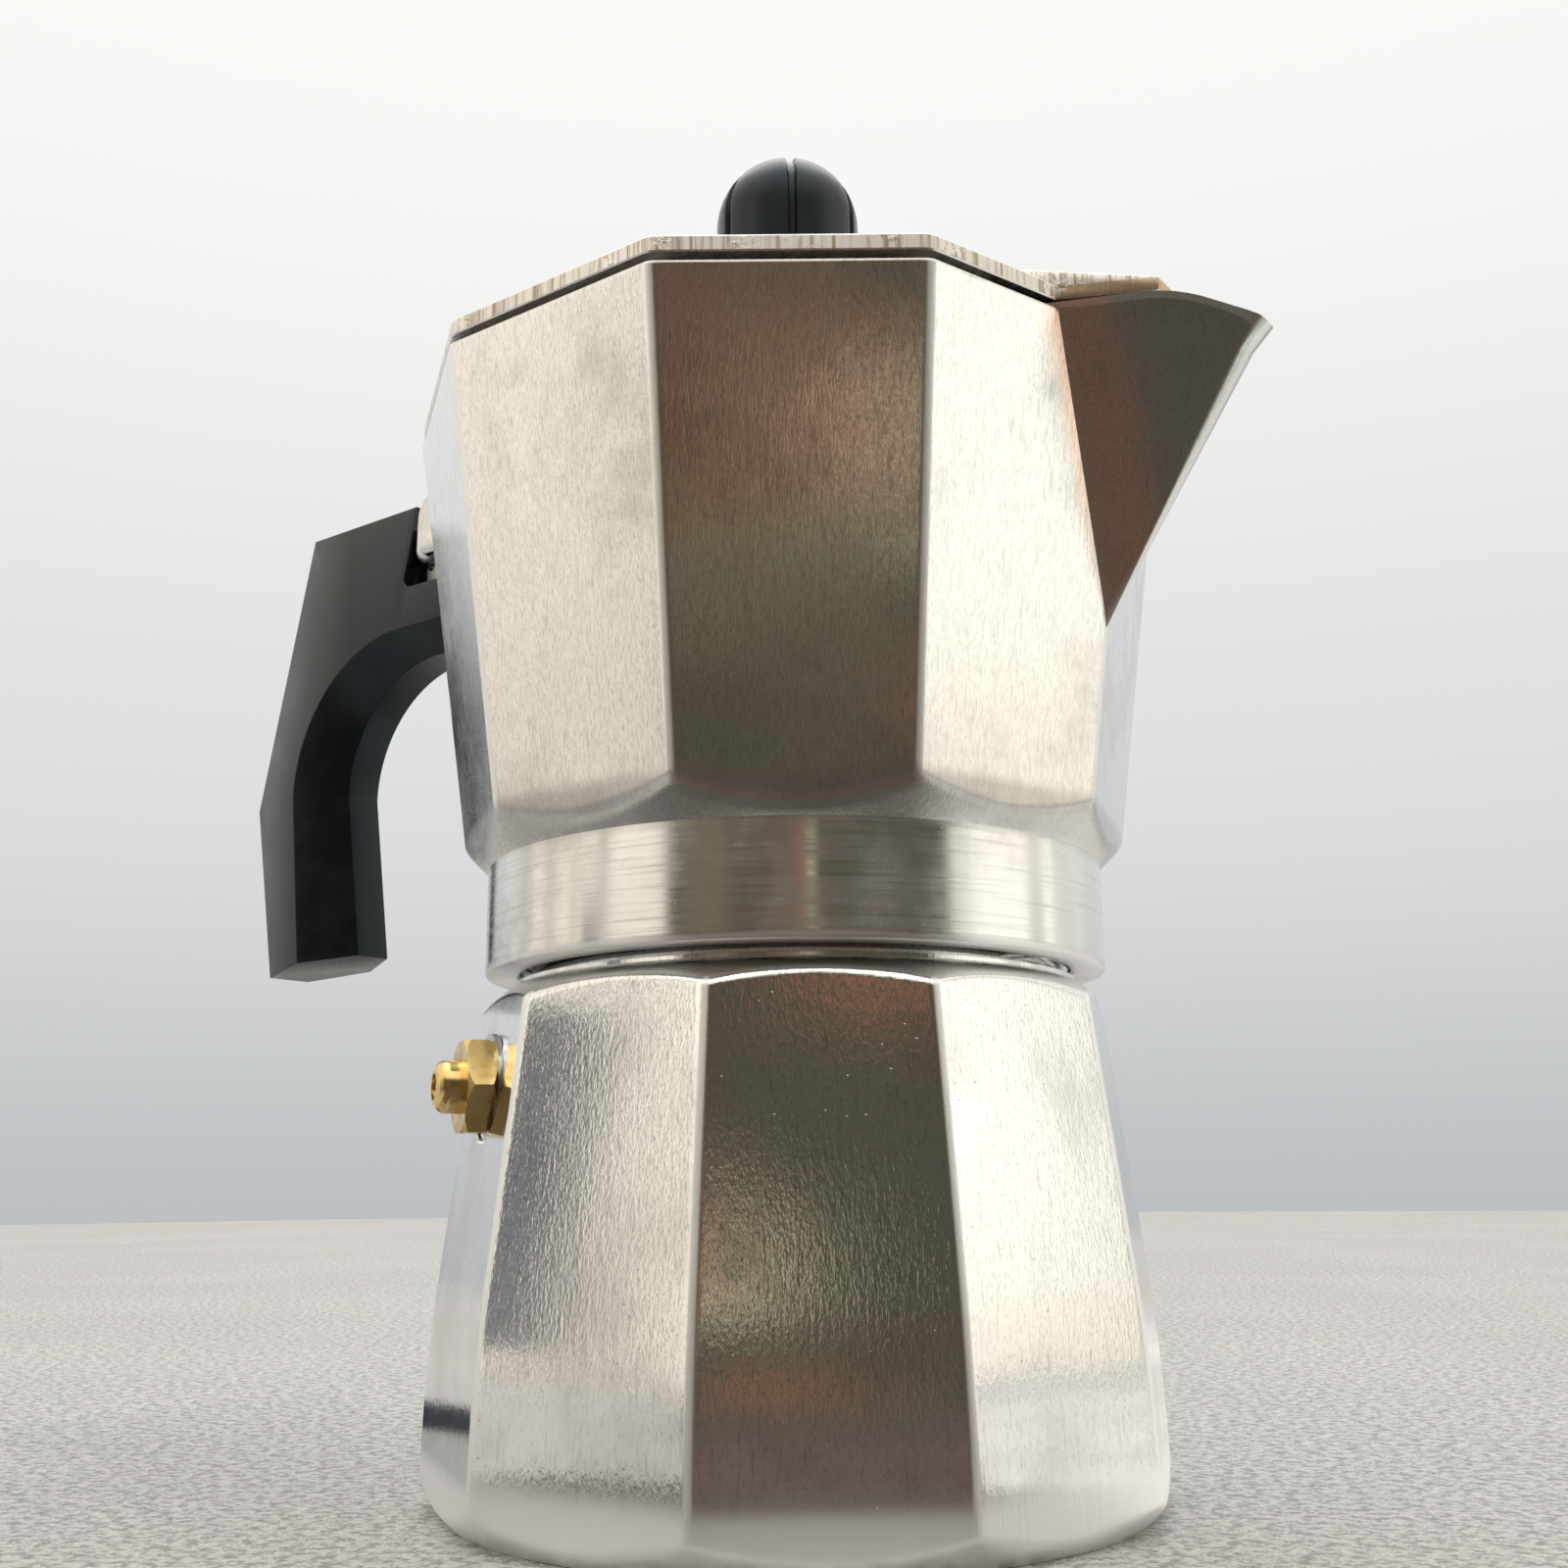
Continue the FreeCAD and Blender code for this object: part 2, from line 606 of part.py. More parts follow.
def polyhedron(name, faces):
    """A solid with flat faces, each a list of corners."""
    shell = Part.makeShell([Part.Face(Part.makePolygon([*corners, corners[0]])) for corners in faces])
    solid = Part.makeSolid(shell)
    if solid.Volume < 0:
        solid.reverse()
    feature = DOC.addObject("Part::Feature", name)
    feature.Shape = solid
    return feature


def spout_wedge(name, reach, half, shift, stretch):
    """A wedge between the spout's two side planes, with a narrow flat along its keel."""
    keel = FreeCAD.Vector(size(reach), 0, size("spout_high"))
    inward = FreeCAD.Vector(size(shift), 0, 0)
    foot = FreeCAD.Vector(size("spout_low_reach"), 0, size("spout_low")) - inward
    foot = keel + (foot - keel) * stretch
    sides = []
    for side in (-1, 1):
        top = keel + FreeCAD.Vector(0, side * size(half), 0)
        root = FreeCAD.Vector(size("spout_root"), side * size("spout_half"), size("spout_high")) - inward
        sides.append((top, top + (root - top) * (stretch + 0.04)))
    (near_top, near_root), (far_top, far_root) = sides
    return polyhedron(name, [
        [foot, near_root, near_top],
        [foot, near_top, far_top],
        [foot, far_top, far_root],
        [near_top, near_root, far_root, far_top],
        [foot, far_root, near_root],
    ])


def make_spout():
    """The outer spout: a wedge with a small lip, trimmed by the curve of its rim."""
    trim = extruded("spout_trim", "XZ_Plane", [
        ("30", "85"),
        ("75", "85"),
        ("75", "110"),
        ("spout_tip", "spout_rim - spout_tip_drop"),
        ("rim_bend", "spout_rim", "rim_round", -1),
        ("30", "spout_rim"),
    ], "40")
    wedge = spout_wedge("spout_block", "spout_high_reach", "keel_half", "0", 1.02)
    lip = extruded("spout_lip", "XZ_Plane", [
        ("spout_tip - 3.8", "spout_rim - 8"),
        ("spout_tip - 3.2", "spout_rim - 7.6"),
        ("spout_tip", "spout_rim - spout_tip_drop"),
        ("spout_tip", "spout_rim"),
        ("spout_tip - 3.8", "spout_rim"),
    ], "lip_wide")
    return common("spout_outer", join("spout_untrimmed", wedge, lip), trim)


def make_bracket():
    """The cast lug on the handle's corner: deck, web, hinge ears and the handle's arm."""
    deck = box("bracket_deck", "-hinge_reach - 1", "-45", "-ear_outer", "ear_outer",
               "deck_bottom", "hinge_height - deck_drop")
    web = box("bracket_web", "-lug_back", "-44.9", "-web_half", "web_half",
              "web_bottom", "hinge_height - deck_drop")
    back = box("bracket_back", "-lug_back", "lug_thick - lug_back", "-lug_half", "lug_half",
               "lug_foot", "lug_top")
    arm = box("bracket_arm", "-arm_reach", "0.1 - (lug_back - lug_thick)", "-arm_tall / 2", "arm_tall / 2",
              "arm_height - arm_tall / 2", "arm_height + arm_tall / 2")
    pieces = [deck, web, back, arm]
    for side, low in (("near", "-ear_outer"), ("far", "ear_inner")):
        pieces.append(rod(f"ear_{side}", "ear_radius", "ear_outer - ear_inner",
                          ("-hinge_reach", f"{low} + ear_outer - ear_inner", "hinge_height"), (0, -1, 0)))
        pieces.append(box(f"ear_leg_{side}", "-hinge_reach - 4.4", "-hinge_reach + 4.6",
                          low, f"{low} + ear_outer - ear_inner", "ear_foot", "hinge_height"))
    return join("bracket", *pieces)


def make_collector():
    facets = faceted("collector_facets", [("facet_foot", "collar_top"), ("rim_corner", "rim_height")])
    cone = turned("collector_cone", [
        ("0", "collar_top"),
        ("collar_outer", "collar_top"),
        ("collar_outer + 15", "collar_top + 15"),
        ("collar_outer + 15", "rim_height"),
        ("0", "rim_height"),
    ])
    collar = rod("collar", "collar_outer", "collar_top - collar_bottom + 1", ("0", "0", "collar_bottom"))
    whole = join("collector_whole", common("collector_body", facets, cone), collar, make_spout(),
                 make_bracket())
    inside = faceted("collector_inside", [
        ("facet_foot + 0.64 - wall / cos(18)", "floor_top"),
        ("rim_corner + 0.14 - wall / cos(18)", "rim_height + 1"),
    ])
    underside = turned("collector_underside", [
        ("0", "collar_bottom - 1"),
        ("collar_bore", "collar_bottom - 1"),
        ("collar_bore", "seat_bottom"),
        ("seat_bore", "seat_bottom"),
        ("seat_bore", "collar_top"),
        ("plate_recess", "collar_top"),
        ("plate_recess", "collar_top + 0.8"),
        ("25", "collar_top + 1.9"),
        ("0", "collar_top + 1.9"),
    ])
    channel = spout_wedge("spout_channel", "spout_high_reach - channel_shift", "channel_half",
                          "channel_shift", 1.3)
    column_hole = rod("column_hole", "column_foot + 0.03", "10", ("0", "0", "70"))
    pin_hole = rod("pin_hole", "pin_radius + 0.01", "20", ("-hinge_reach", "10", "hinge_height"), (0, -1, 0))
    screw_hole = rod("arm_screw_hole", "1.53", "11.5", ("-arm_reach - 0.5", "0", "arm_height"), (1, 0, 0))
    ridge = thread_ridge("collar_thread", "collar_bore", "collar_crest", "collar_bottom + 0.5 + pitch / 2", 2)
    threaded = cut("collector_threaded", underside, ridge)
    return cut("collector_solid", whole, inside, threaded, channel, column_hole, pin_hole, screw_hole)


def make_column():
    tube = turned("column_tube", [
        ("column_bore", "floor_top - 2.6"),
        ("column_foot", "floor_top - 2.6"),
        ("column_foot", "floor_top + 0.02"),
        ("column_flange", "floor_top + 0.02"),
        ("column_flange", "floor_top + 1.2"),
        ("column_foot - 0.4", "floor_top + 3"),
        ("column_tip", "column_top - 3"),
        ("0", "column_top"),
        ("0", "column_top - 4"),
        ("column_bore", "column_top - 4"),
    ])
    ports = box("column_ports", "-1.6", "1.6", "-10", "10", "column_top - 10", "column_top - 5.5")
    return cut("column_solid", tube, ports)


# ---------------------------------------------------------------- lid and knob

def make_lid():
    roof = faceted("lid_roof", [
        ("lid_corner", "lid_bottom"),
        ("lid_corner", "lid_edge_top"),
        ("lid_flat", "lid_top"),
    ])
    under = faceted("lid_under", [
        ("lid_corner - 2.4", "lid_bottom - 0.5"),
        ("lid_corner - 2.4", "lid_bottom + 0.3"),
        ("lid_flat - 1.5", "lid_top - lid_skin"),
    ])
    lip_outer = faceted("lip_outer", [("lip_corner", "lid_bottom - 2.4"), ("lip_corner", "lid_bottom + 1.3")])
    lip_inner = faceted("lip_inner", [("lip_corner - 1.6", "lid_bottom - 3"),
                                      ("lip_corner - 1.6", "lid_bottom + 2")])
    lip = cut("lid_lip", lip_outer, lip_inner, box("lip_gap", "37", "50", "-16", "16", "120", "lid_bottom"))
    tab = box("lid_tab", "-hinge_reach", "-44.4", "-4.2", "4.2", "lid_bottom + 0.2", "lid_bottom + 3.2")
    knuckle = rod("lid_knuckle", "knuckle_radius", "8.4", ("-hinge_reach", "4.2", "hinge_height"), (0, -1, 0))
    pin_hole = rod("knuckle_hole", "pin_radius + 0.08", "12",
                   ("-hinge_reach", "6", "hinge_height"), (0, -1, 0))
    screw_hole = rod("lid_screw_hole", "2.15", "12", ("0", "0", "lid_top - 6"))
    shell = cut("lid_shell", roof, under)
    return cut("lid_solid", join("lid_whole", shell, lip, make_tongue(), tab, knuckle), pin_hole, screw_hole)


def make_tongue():
    """The sloping tongue that covers the root of the spout."""
    slope = extruded("tongue_slope", "XZ_Plane", [
        ("41", "lid_bottom"),
        ("tongue_reach", "lid_bottom"),
        ("tongue_reach", "lid_edge_top - 0.15"),
        ("41", "lid_edge_top + 2.2"),
    ], "40")
    plan = DOC.addObject("Part::Loft", "tongue_plan")
    plan.Sections = [tongue_outline("tongue_outline_low", "lid_bottom - 1"),
                     tongue_outline("tongue_outline_high", "lid_top")]
    plan.Solid = True
    plan.Ruled = True
    return common("tongue", slope, plan)


def tongue_outline(name, height):
    """The tongue's plan: two sides that follow the spout's rim."""
    outline = DOC.addObject("Sketcher::SketchObject", name)
    draw(outline, [
        ("40", "-13.2"),
        ("tongue_reach + 1", "-5.4"),
        ("tongue_reach + 1", "5.4"),
        ("40", "13.2"),
    ])
    return place(outline, z=height)


def make_hinge_pin():
    return rod("hinge_pin_rod", "pin_radius", "ear_outer * 2 + 0.8",
               ("-hinge_reach", "ear_outer + 0.4", "hinge_height"), (0, -1, 0))


def make_knob():
    dome = turned("knob_dome_body", [
        ("knob_bore", "lid_top + 0.05"),
        ("knob_neck", "lid_top + 0.05"),
        ("knob_neck", "lid_top + 3.5"),
        ("knob_radius", "lid_top + 11.5"),
        ("knob_radius", "knob_dome"),
        ("0", "knob_dome + knob_radius", "knob_radius", -1),
        ("0", "lid_top + 13.5"),
        ("knob_bore", "lid_top + 13.5"),
    ])
    core = rod("knob_core", "knob_radius - knob_groove", "knob_dome - lid_top", ("0", "0", "lid_top"))
    cap = DOC.addObject("Part::Sphere", "knob_cap")
    bind(cap, Radius="knob_radius - knob_groove")
    place(cap, z="knob_dome")
    slabs = []
    for index in range(3):
        slab = DOC.addObject("Part::Box", f"knob_slab_{index}")
        bind(slab, Length="knob_radius * 3", Width="knob_groove_wide", Height="knob_radius * 3")
        turn = FreeCAD.Rotation(FreeCAD.Vector(0, 0, 1), size("knob_groove_turn") + 60 * index)
        corner = FreeCAD.Vector(-size("knob_radius") * 1.5, -size("knob_groove_wide") / 2, 0)
        slab.Placement = FreeCAD.Placement(turn.multVec(corner), turn)
        slab.setExpression("Placement.Base.z", bound("lid_top + 8"))
        slabs.append(slab)
    grooves = cut("knob_grooves", join("knob_slabs", *slabs), join("knob_inner", core, cap))
    return cut("knob_solid", dome, grooves)


def make_knob_insert():
    return turned("knob_insert_bush", [
        ("insert_bore", "lid_top + 0.4"),
        ("knob_bore - 0.05", "lid_top + 0.4"),
        ("knob_bore - 0.05", "lid_top + 13"),
        ("insert_bore", "lid_top + 13"),
    ])


def make_knob_screw():
    return turned("knob_screw_body", [
        ("0", "lid_top - lid_skin - washer_thick - 2.2"),
        ("knob_screw_head - 1", "lid_top - lid_skin - washer_thick - 2.2"),
        ("knob_screw_head", "lid_top - lid_skin - washer_thick - 1.2"),
        ("knob_screw_head", "lid_top - lid_skin - washer_thick"),
        ("knob_screw_shank", "lid_top - lid_skin - washer_thick"),
        ("knob_screw_shank", "lid_top + 11"),
        ("0", "lid_top + 11"),
    ])


def make_knob_washer():
    return turned("knob_washer_ring", [
        ("knob_screw_shank + 0.1", "lid_top - lid_skin - washer_thick"),
        ("knob_washer_outer", "lid_top - lid_skin - washer_thick"),
        ("knob_washer_outer", "lid_top - lid_skin"),
        ("knob_screw_shank + 0.1", "lid_top - lid_skin"),
    ])


# ---------------------------------------------------------------- handle

def handle_section(outer, ridge, inner):
    """A six-sided section through an outer, a ridge and an inner point of the middle plane."""
    half_outer = size("handle_outer_half")
    half_ridge = size("handle_half")
    half_inner = size("handle_inner_half")
    corners = [(outer, -half_outer), (ridge, -half_ridge), (inner, -half_inner),
               (inner, half_inner), (ridge, half_ridge), (outer, half_outer)]
    return [FreeCAD.Vector(x, y, z) for (x, z), y in corners]


def outer_point(angle):
    """Where a ray from the fan's centre meets the handle's outer outline."""
    centre_x, centre_z = -size("fan_centre"), size("handle_elbow_height")
    corner_x, corner_z = -size("handle_shoulder"), size("handle_top")
    away_x, away_z = math.cos(angle), math.sin(angle)
    if angle <= shoulder_angle() + 1e-9:
        reach = (corner_z - centre_z) / away_z
        return centre_x + away_x * reach, corner_z
    edge_x, edge_z = -size("handle_elbow") - corner_x, centre_z - corner_z
    gap_x, gap_z = corner_x - centre_x, corner_z - centre_z
    reach = (gap_x * edge_z - gap_z * edge_x) / (away_x * edge_z - away_z * edge_x)
    return centre_x + away_x * reach, centre_z + away_z * reach


def shoulder_angle():
    """The direction of the handle's top corner from the fan's centre."""
    rise = size("handle_top - handle_elbow_height")
    return math.atan2(rise, size("fan_centre - handle_shoulder"))


def arch_point(centre, radius, angle):
    """A point of one of the handle's arches, as (x, height)."""
    return (size(radius) * math.cos(angle) - size(centre),
            size(radius) * math.sin(angle) + size("handle_elbow_height"))


def handle_sections():
    """Sections from the end beside the collector, round the arch, to the grip's foot."""
    elbow = size("handle_elbow_height")
    end = -size("prong_end")
    sections = [handle_section((end, size("handle_top")), (end, elbow + size("ridge_arch")),
                               (end, elbow + size("finger_arch")))]
    quarter, corner = math.pi / 2, shoulder_angle()
    angles = [quarter + (corner - quarter) * step / 4 for step in range(5)]
    angles += [corner + (math.pi - corner) * step / 6 for step in range(1, 7)]
    for angle in angles:
        sections.append(handle_section(outer_point(angle), arch_point("ridge_centre", "ridge_arch", angle),
                                       arch_point("finger_centre", "finger_arch", angle)))
    foot_outer = FreeCAD.Vector(-size("handle_foot"), size("handle_foot_height"), 0)
    foot_inner = FreeCAD.Vector(-size("grip_inner_foot"), foot_outer.y + size("grip_foot_rise"), 0)
    foot_ridge = foot_outer + (foot_inner - foot_outer) * 0.55
    sections.append(handle_section(foot_outer[:2], foot_ridge[:2], foot_inner[:2]))
    return sections


def skinned(name, sections):
    """A solid with flat faces through sections that have the same number of corners."""
    faces = [sections[0], sections[-1]]
    for near, far in zip(sections, sections[1:]):
        for index in range(len(near)):
            following = (index + 1) % len(near)
            faces.append([near[index], near[following], far[index]])
            faces.append([near[following], far[following], far[index]])
    return polyhedron(name, faces)


def make_handle():
    grip = skinned("handle_grip", handle_sections())
    pocket = box("arm_pocket", "-arm_reach - 0.4", "-60",
                 "-arm_tall / 2 - arm_gap", "arm_tall / 2 + arm_gap",
                 "arm_height - arm_tall / 2 - arm_gap", "arm_height + arm_tall / 2 + arm_gap")
    notch = box("handle_notch", "-notch_end", "-40", "-20", "20", "notch_floor", "150")
    shank = rod("handle_shank_hole", "handle_shank_bore", "20", ("-95", "0", "arm_height"), (1, 0, 0))
    head = rod("handle_head_hole", "handle_head_bore", "12", ("-100", "0", "arm_height"), (1, 0, 0))
    return cut("handle_solid", grip, pocket, notch, shank, head)


def make_handle_screw():
    return place(face_along(turned("handle_screw_body", [
        ("0", "0"),
        ("handle_screw_head - 0.45", "0"),
        ("handle_screw_head", "0.6"),
        ("handle_screw_head", "2.1"),
        ("handle_screw_shank", "2.1"),
        ("handle_screw_shank", "20.5"),
        ("0", "20.5"),
    ]), (1, 0, 0)), "-handle_screw_reach", "0", "arm_height")


def make_handle_washer():
    return place(face_along(turned("handle_washer_ring", [
        ("handle_screw_shank + 0.1", "0"),
        ("handle_screw_head + 0.2", "0"),
        ("handle_screw_head + 0.2", "washer_thick"),
        ("handle_screw_shank + 0.1", "washer_thick"),
    ]), (1, 0, 0)), "-handle_washer_reach", "0", "arm_height")


MAKERS = [
    ("boiler", make_boiler),
    ("valve_body", make_valve_body),
    ("valve_washer", make_valve_washer),
    ("valve_plunger", make_valve_plunger),
    ("valve_spring", make_valve_spring),
    ("valve_retainer", make_valve_retainer),
    ("funnel_basket", make_funnel_basket),
    ("funnel_stem", make_funnel_stem),
    ("funnel_screen", make_funnel_screen),
    ("gasket", make_gasket),
    ("filter_plate", make_filter_plate),
    ("collector", make_collector),
    ("column", make_column),
    ("hinge_pin", make_hinge_pin),
    ("lid", make_lid),
    ("knob", make_knob),
    ("knob_insert", make_knob_insert),
    ("knob_screw", make_knob_screw),
    ("knob_washer", make_knob_washer),
    ("handle", make_handle),
    ("handle_screw", make_handle_screw),
    ("handle_washer", make_handle_washer),
]


def check_document():
    """Stop if any object failed or any sub-part has no sound solid."""
    for thing in DOC.Objects:
        if "Invalid" in thing.State or "Error" in thing.State:
            raise RuntimeError(f"{thing.Name} failed: {thing.State}")
    for thing in NODES:
        if thing.Shape.isNull() or not thing.Shape.isValid() or thing.Shape.Volume <= 0:
            raise RuntimeError(f"{thing.Label} has no valid shape")


def write_parts():
    """Write one STEP file for each sub-part."""
    os.makedirs("parts", exist_ok=True)
    for thing in NODES:
        thing.Shape.exportStep(f"parts/{thing.Label}.step")
        print(f"{thing.Label}: {len(thing.Shape.Solids)} solid, {thing.Shape.Volume:.0f} mm3")


for label, maker in MAKERS:
    node(maker(), label)
DOC.recompute()
check_document()
write_parts()
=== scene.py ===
"""Looks of the ten-sided aluminium moka pot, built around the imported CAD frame.

Shapes are worked out in millimetres with +Z up; new_object() turns them into metres.
"""
import json
import math

import bmesh
import bpy
from mathutils import Matrix, Vector, noise


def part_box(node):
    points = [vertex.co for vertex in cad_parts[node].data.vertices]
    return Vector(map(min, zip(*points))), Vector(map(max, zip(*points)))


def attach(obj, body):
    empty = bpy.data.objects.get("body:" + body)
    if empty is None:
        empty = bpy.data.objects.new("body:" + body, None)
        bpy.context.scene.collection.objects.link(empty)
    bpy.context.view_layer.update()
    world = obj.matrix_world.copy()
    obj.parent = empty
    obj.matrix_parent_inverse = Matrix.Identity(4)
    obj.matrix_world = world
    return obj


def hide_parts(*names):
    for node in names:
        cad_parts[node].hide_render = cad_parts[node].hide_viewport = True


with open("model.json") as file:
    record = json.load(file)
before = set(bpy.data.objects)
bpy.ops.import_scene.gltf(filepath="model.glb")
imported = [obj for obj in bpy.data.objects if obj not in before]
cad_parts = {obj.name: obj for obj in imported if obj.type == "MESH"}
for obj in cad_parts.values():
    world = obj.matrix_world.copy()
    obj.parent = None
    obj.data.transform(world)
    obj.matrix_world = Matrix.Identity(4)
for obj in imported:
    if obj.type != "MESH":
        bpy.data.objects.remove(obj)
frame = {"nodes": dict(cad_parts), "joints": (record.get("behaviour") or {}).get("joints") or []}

MM = 0.001
SIDES = 10
SIDE = math.tau / SIDES
SIDE_DEGREES = 360 / SIDES
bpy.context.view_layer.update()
SCENE = bpy.context.scene
NODES = frame["nodes"]


# ------------------------------------------------------------ frame sizes

def top_of(node):
    """Height of a CAD node's highest point."""
    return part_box(node)[1].z / MM


def bottom_of(node):
    """Height of a CAD node's lowest point."""
    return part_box(node)[0].z / MM


NECK_TOP = top_of("boiler")
COLLAR_BOTTOM = bottom_of("collector")
LID_TOP = bottom_of("knob") - 0.05
KNOB_TOP = top_of("knob")
VALVE_ANGLE = math.radians(-122.1)
VALVE_OUT = Vector((math.cos(VALVE_ANGLE), math.sin(VALVE_ANGLE), 0))
VALVE_HEIGHT = (top_of("valve_body") + bottom_of("valve_body")) / 2
HINGE = Vector(next(j for j in frame["joints"] if j["name"] == "lid_hinge")["pos_m"]) / MM


# ------------------------------------------------------------ mesh helpers

# Degrees after a corner at which an outline has its points: close together near the corner.
CORNER_STEPS = [0, 0.3, 0.6, 0.95, 1.4, 2.0, 3.0, 4.6, 7.0, 10.0, 14.0]
# The innermost radius of a turned solid, as good as none.
ON_AXIS = 0.01
# A cast facet's unevenness: its height and its size.
WAVE = 0.022
WAVE_SIZE = 13.0
# Points nearer than this are one point, and faces this near to level are one face.
SAME_POINT = 0.002
SAME_PLANE = math.radians(0.5)


def smooth_min(a, b, soft):
    """The smaller of two lengths, rounded where they meet."""
    near = max(soft - abs(a - b), 0.0) / soft
    return min(a, b) - near * near * soft / 4


def decagon(corner, angle, turn=0.0, soft=0.45):
    """Radius of a ten-sided outline with softened corners, in the direction angle."""
    apothem = corner * math.cos(SIDE / 2)
    off = (angle - turn) % SIDE - SIDE / 2
    return smooth_min(apothem / math.cos(off), apothem / math.cos(SIDE - abs(off)), soft)


def directions(turn=0.0):
    """Angles round the pot, close together at the corners."""
    back = [SIDE_DEGREES - step for step in reversed(CORNER_STEPS[1:])]
    offsets = CORNER_STEPS + [SIDE_DEGREES / 2] + back
    return [turn + SIDE * side + math.radians(offset)
            for side in range(SIDES) for offset in offsets]


def ring(angles, radius, height):
    """One ring of points. Radius is a number or a function of the angle and the height."""
    points = []
    for angle in angles:
        reach = radius(angle, height) if callable(radius) else radius
        points.append(Vector((reach * math.cos(angle), reach * math.sin(angle), height)))
    return points


def steps(start, end, spacing):
    """Numbers from start to end, about spacing apart."""
    count = max(1, round(abs(end - start) / spacing))
    return [start + (end - start) * index / count for index in range(count + 1)]


def new_object(name, points, faces):
    """A mesh object from points in millimetres."""
    mesh = bpy.data.meshes.new(name)
    mesh.from_pydata([point * MM for point in points], [], faces)
    piece = bpy.data.objects.new(name, mesh)
    SCENE.collection.objects.link(piece)
    return piece


def outward(piece):
    """Turn every face outward."""
    shape = bmesh.new()
    shape.from_mesh(piece.data)
    bmesh.ops.recalc_face_normals(shape, faces=shape.faces)
    if shape.calc_volume(signed=True) < 0:
        bmesh.ops.reverse_faces(shape, faces=shape.faces)
    shape.to_mesh(piece.data)
    shape.free()


def solid(name, points, faces):
    """A closed mesh object with its faces outward."""
    piece = new_object(name, points, faces)
    outward(piece)
    return piece


def wall(rings, loop=False):
    """Four-sided faces between neighbouring rings; with loop, from the last to the first too."""
    count = len(rings[0])
    faces = []
    for index in range(len(rings) if loop else len(rings) - 1):
        low = index * count
        high = (index + 1) % len(rings) * count
        for spot in range(count):
            following = (spot + 1) % count
            faces.append((low + spot, low + following, high + following, high + spot))
    return faces


def flat(rings):
    """All the points of some rings, in one list."""
    return [point for one in rings for point in one]


def skin(name, rings, loop=False):
    """A closed mesh through rings of points: a tube with caps, or a ring that meets itself."""
    count = len(rings[0])
    faces = wall(rings, loop)
    if not loop:
        faces.append(tuple(reversed(range(count))))
        faces.append(tuple(range((len(rings) - 1) * count, len(rings) * count)))
    return solid(name, flat(rings), faces)


def block(name, low, high):
    """A box from its lowest to its highest corner."""
    points = [Vector((x, y, z))
              for x in (low[0], high[0]) for y in (low[1], high[1]) for z in (low[2], high[2])]
    faces = [(0, 1, 3, 2), (4, 6, 7, 5), (0, 4, 5, 1), (2, 3, 7, 6), (0, 2, 6, 4), (1, 5, 7, 3)]
    return solid(name, points, faces)


def lathe(name, outline, count, axis=None):
    """A turned solid from (radius, distance) points, about +Z or about a frame matrix."""
    angles = [math.tau * index / count for index in range(count)]
    piece = skin(name, [ring(angles, radius, height) for radius, height in outline])
    if axis is not None:
        piece.data.transform(axis)
        outward(piece)
    return piece


def rod(name, radius, low, high, count, axis=None):
    """A plain turned rod, to bore a hole with."""
    outline = [(ON_AXIS, low), (radius, low), (radius, high), (ON_AXIS, high)]
    return lathe(name, outline, count, axis)


def along(direction, start):
    """A matrix that takes +Z to a direction and the origin to start, in millimetres."""
    turn = Vector((0, 0, 1)).rotation_difference(Vector(direction)).to_matrix().to_4x4()
    return Matrix.Translation(Vector(start) * MM) @ turn


def settle(piece):
    """Apply a piece's modifiers to its mesh."""
    graph = bpy.context.evaluated_depsgraph_get()
    mesh = bpy.data.meshes.new_from_object(piece.evaluated_get(graph))
    piece.modifiers.clear()
    piece.data = mesh


def carve(piece, tool, operation="DIFFERENCE"):
    """Cut a tool from a piece, or join it on, and delete the tool."""
    modifier = piece.modifiers.new("carve", "BOOLEAN")
    modifier.operation = operation
    modifier.solver = "MANIFOLD"
    modifier.object = tool
    settle(piece)
    bpy.data.objects.remove(tool)


def merge_flat(piece):
    """Merge doubled points and level neighbouring faces, as booleans leave them."""
    shape = bmesh.new()
    shape.from_mesh(piece.data)
    bmesh.ops.remove_doubles(shape, verts=shape.verts, dist=SAME_POINT * MM)
    bmesh.ops.dissolve_limit(shape, angle_limit=SAME_PLANE, verts=shape.verts, edges=shape.edges)
    shape.to_mesh(piece.data)
    shape.free()


def round_edges(piece, width, angle=30, segments=3):
    """Round a piece's hard edges."""
    merge_flat(piece)
    modifier = piece.modifiers.new("round", "BEVEL")
    modifier.width = width * MM
    modifier.segments = segments
    modifier.limit_method = "ANGLE"
    modifier.angle_limit = math.radians(angle)
    settle(piece)
    return piece


def smooth(piece, angle):
    """Shade smooth, with creases where faces meet at more than angle."""
    piece.data.shade_smooth()
    piece.data.set_sharp_from_angle(angle=math.radians(angle))


def waver(angle, reach, height, seed):
    """A slight unevenness, as polishing leaves on a cast facet."""
    spot = Vector((reach * math.cos(angle), reach * math.sin(angle), height * 0.6))
    return WAVE * noise.noise(spot / WAVE_SIZE + Vector((seed, seed, seed)))


def finish_piece(piece, body, slot, material, *nodes):
    """Give a piece its body and material, and hide the CAD nodes it stands for. The slot is not
    used.
    """
    piece.data.materials.clear()
    piece.data.materials.append(material)
    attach(piece, body)
    if nodes:
        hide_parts(*nodes)


# ------------------------------------------------------------ boiler

# The thread between boiler and collector: a ridge with sloping flanks.
PITCH = 3.0
THREAD_DEEP = 1.1
THREAD_HALF = 0.85
THREAD_FLANK = 0.4
THREAD_START = COLLAR_BOTTOM + 0.5
THREAD_FINE = 0.15

BOILER_TURN = math.radians(3.9)
BOILER_SEED = 3.0
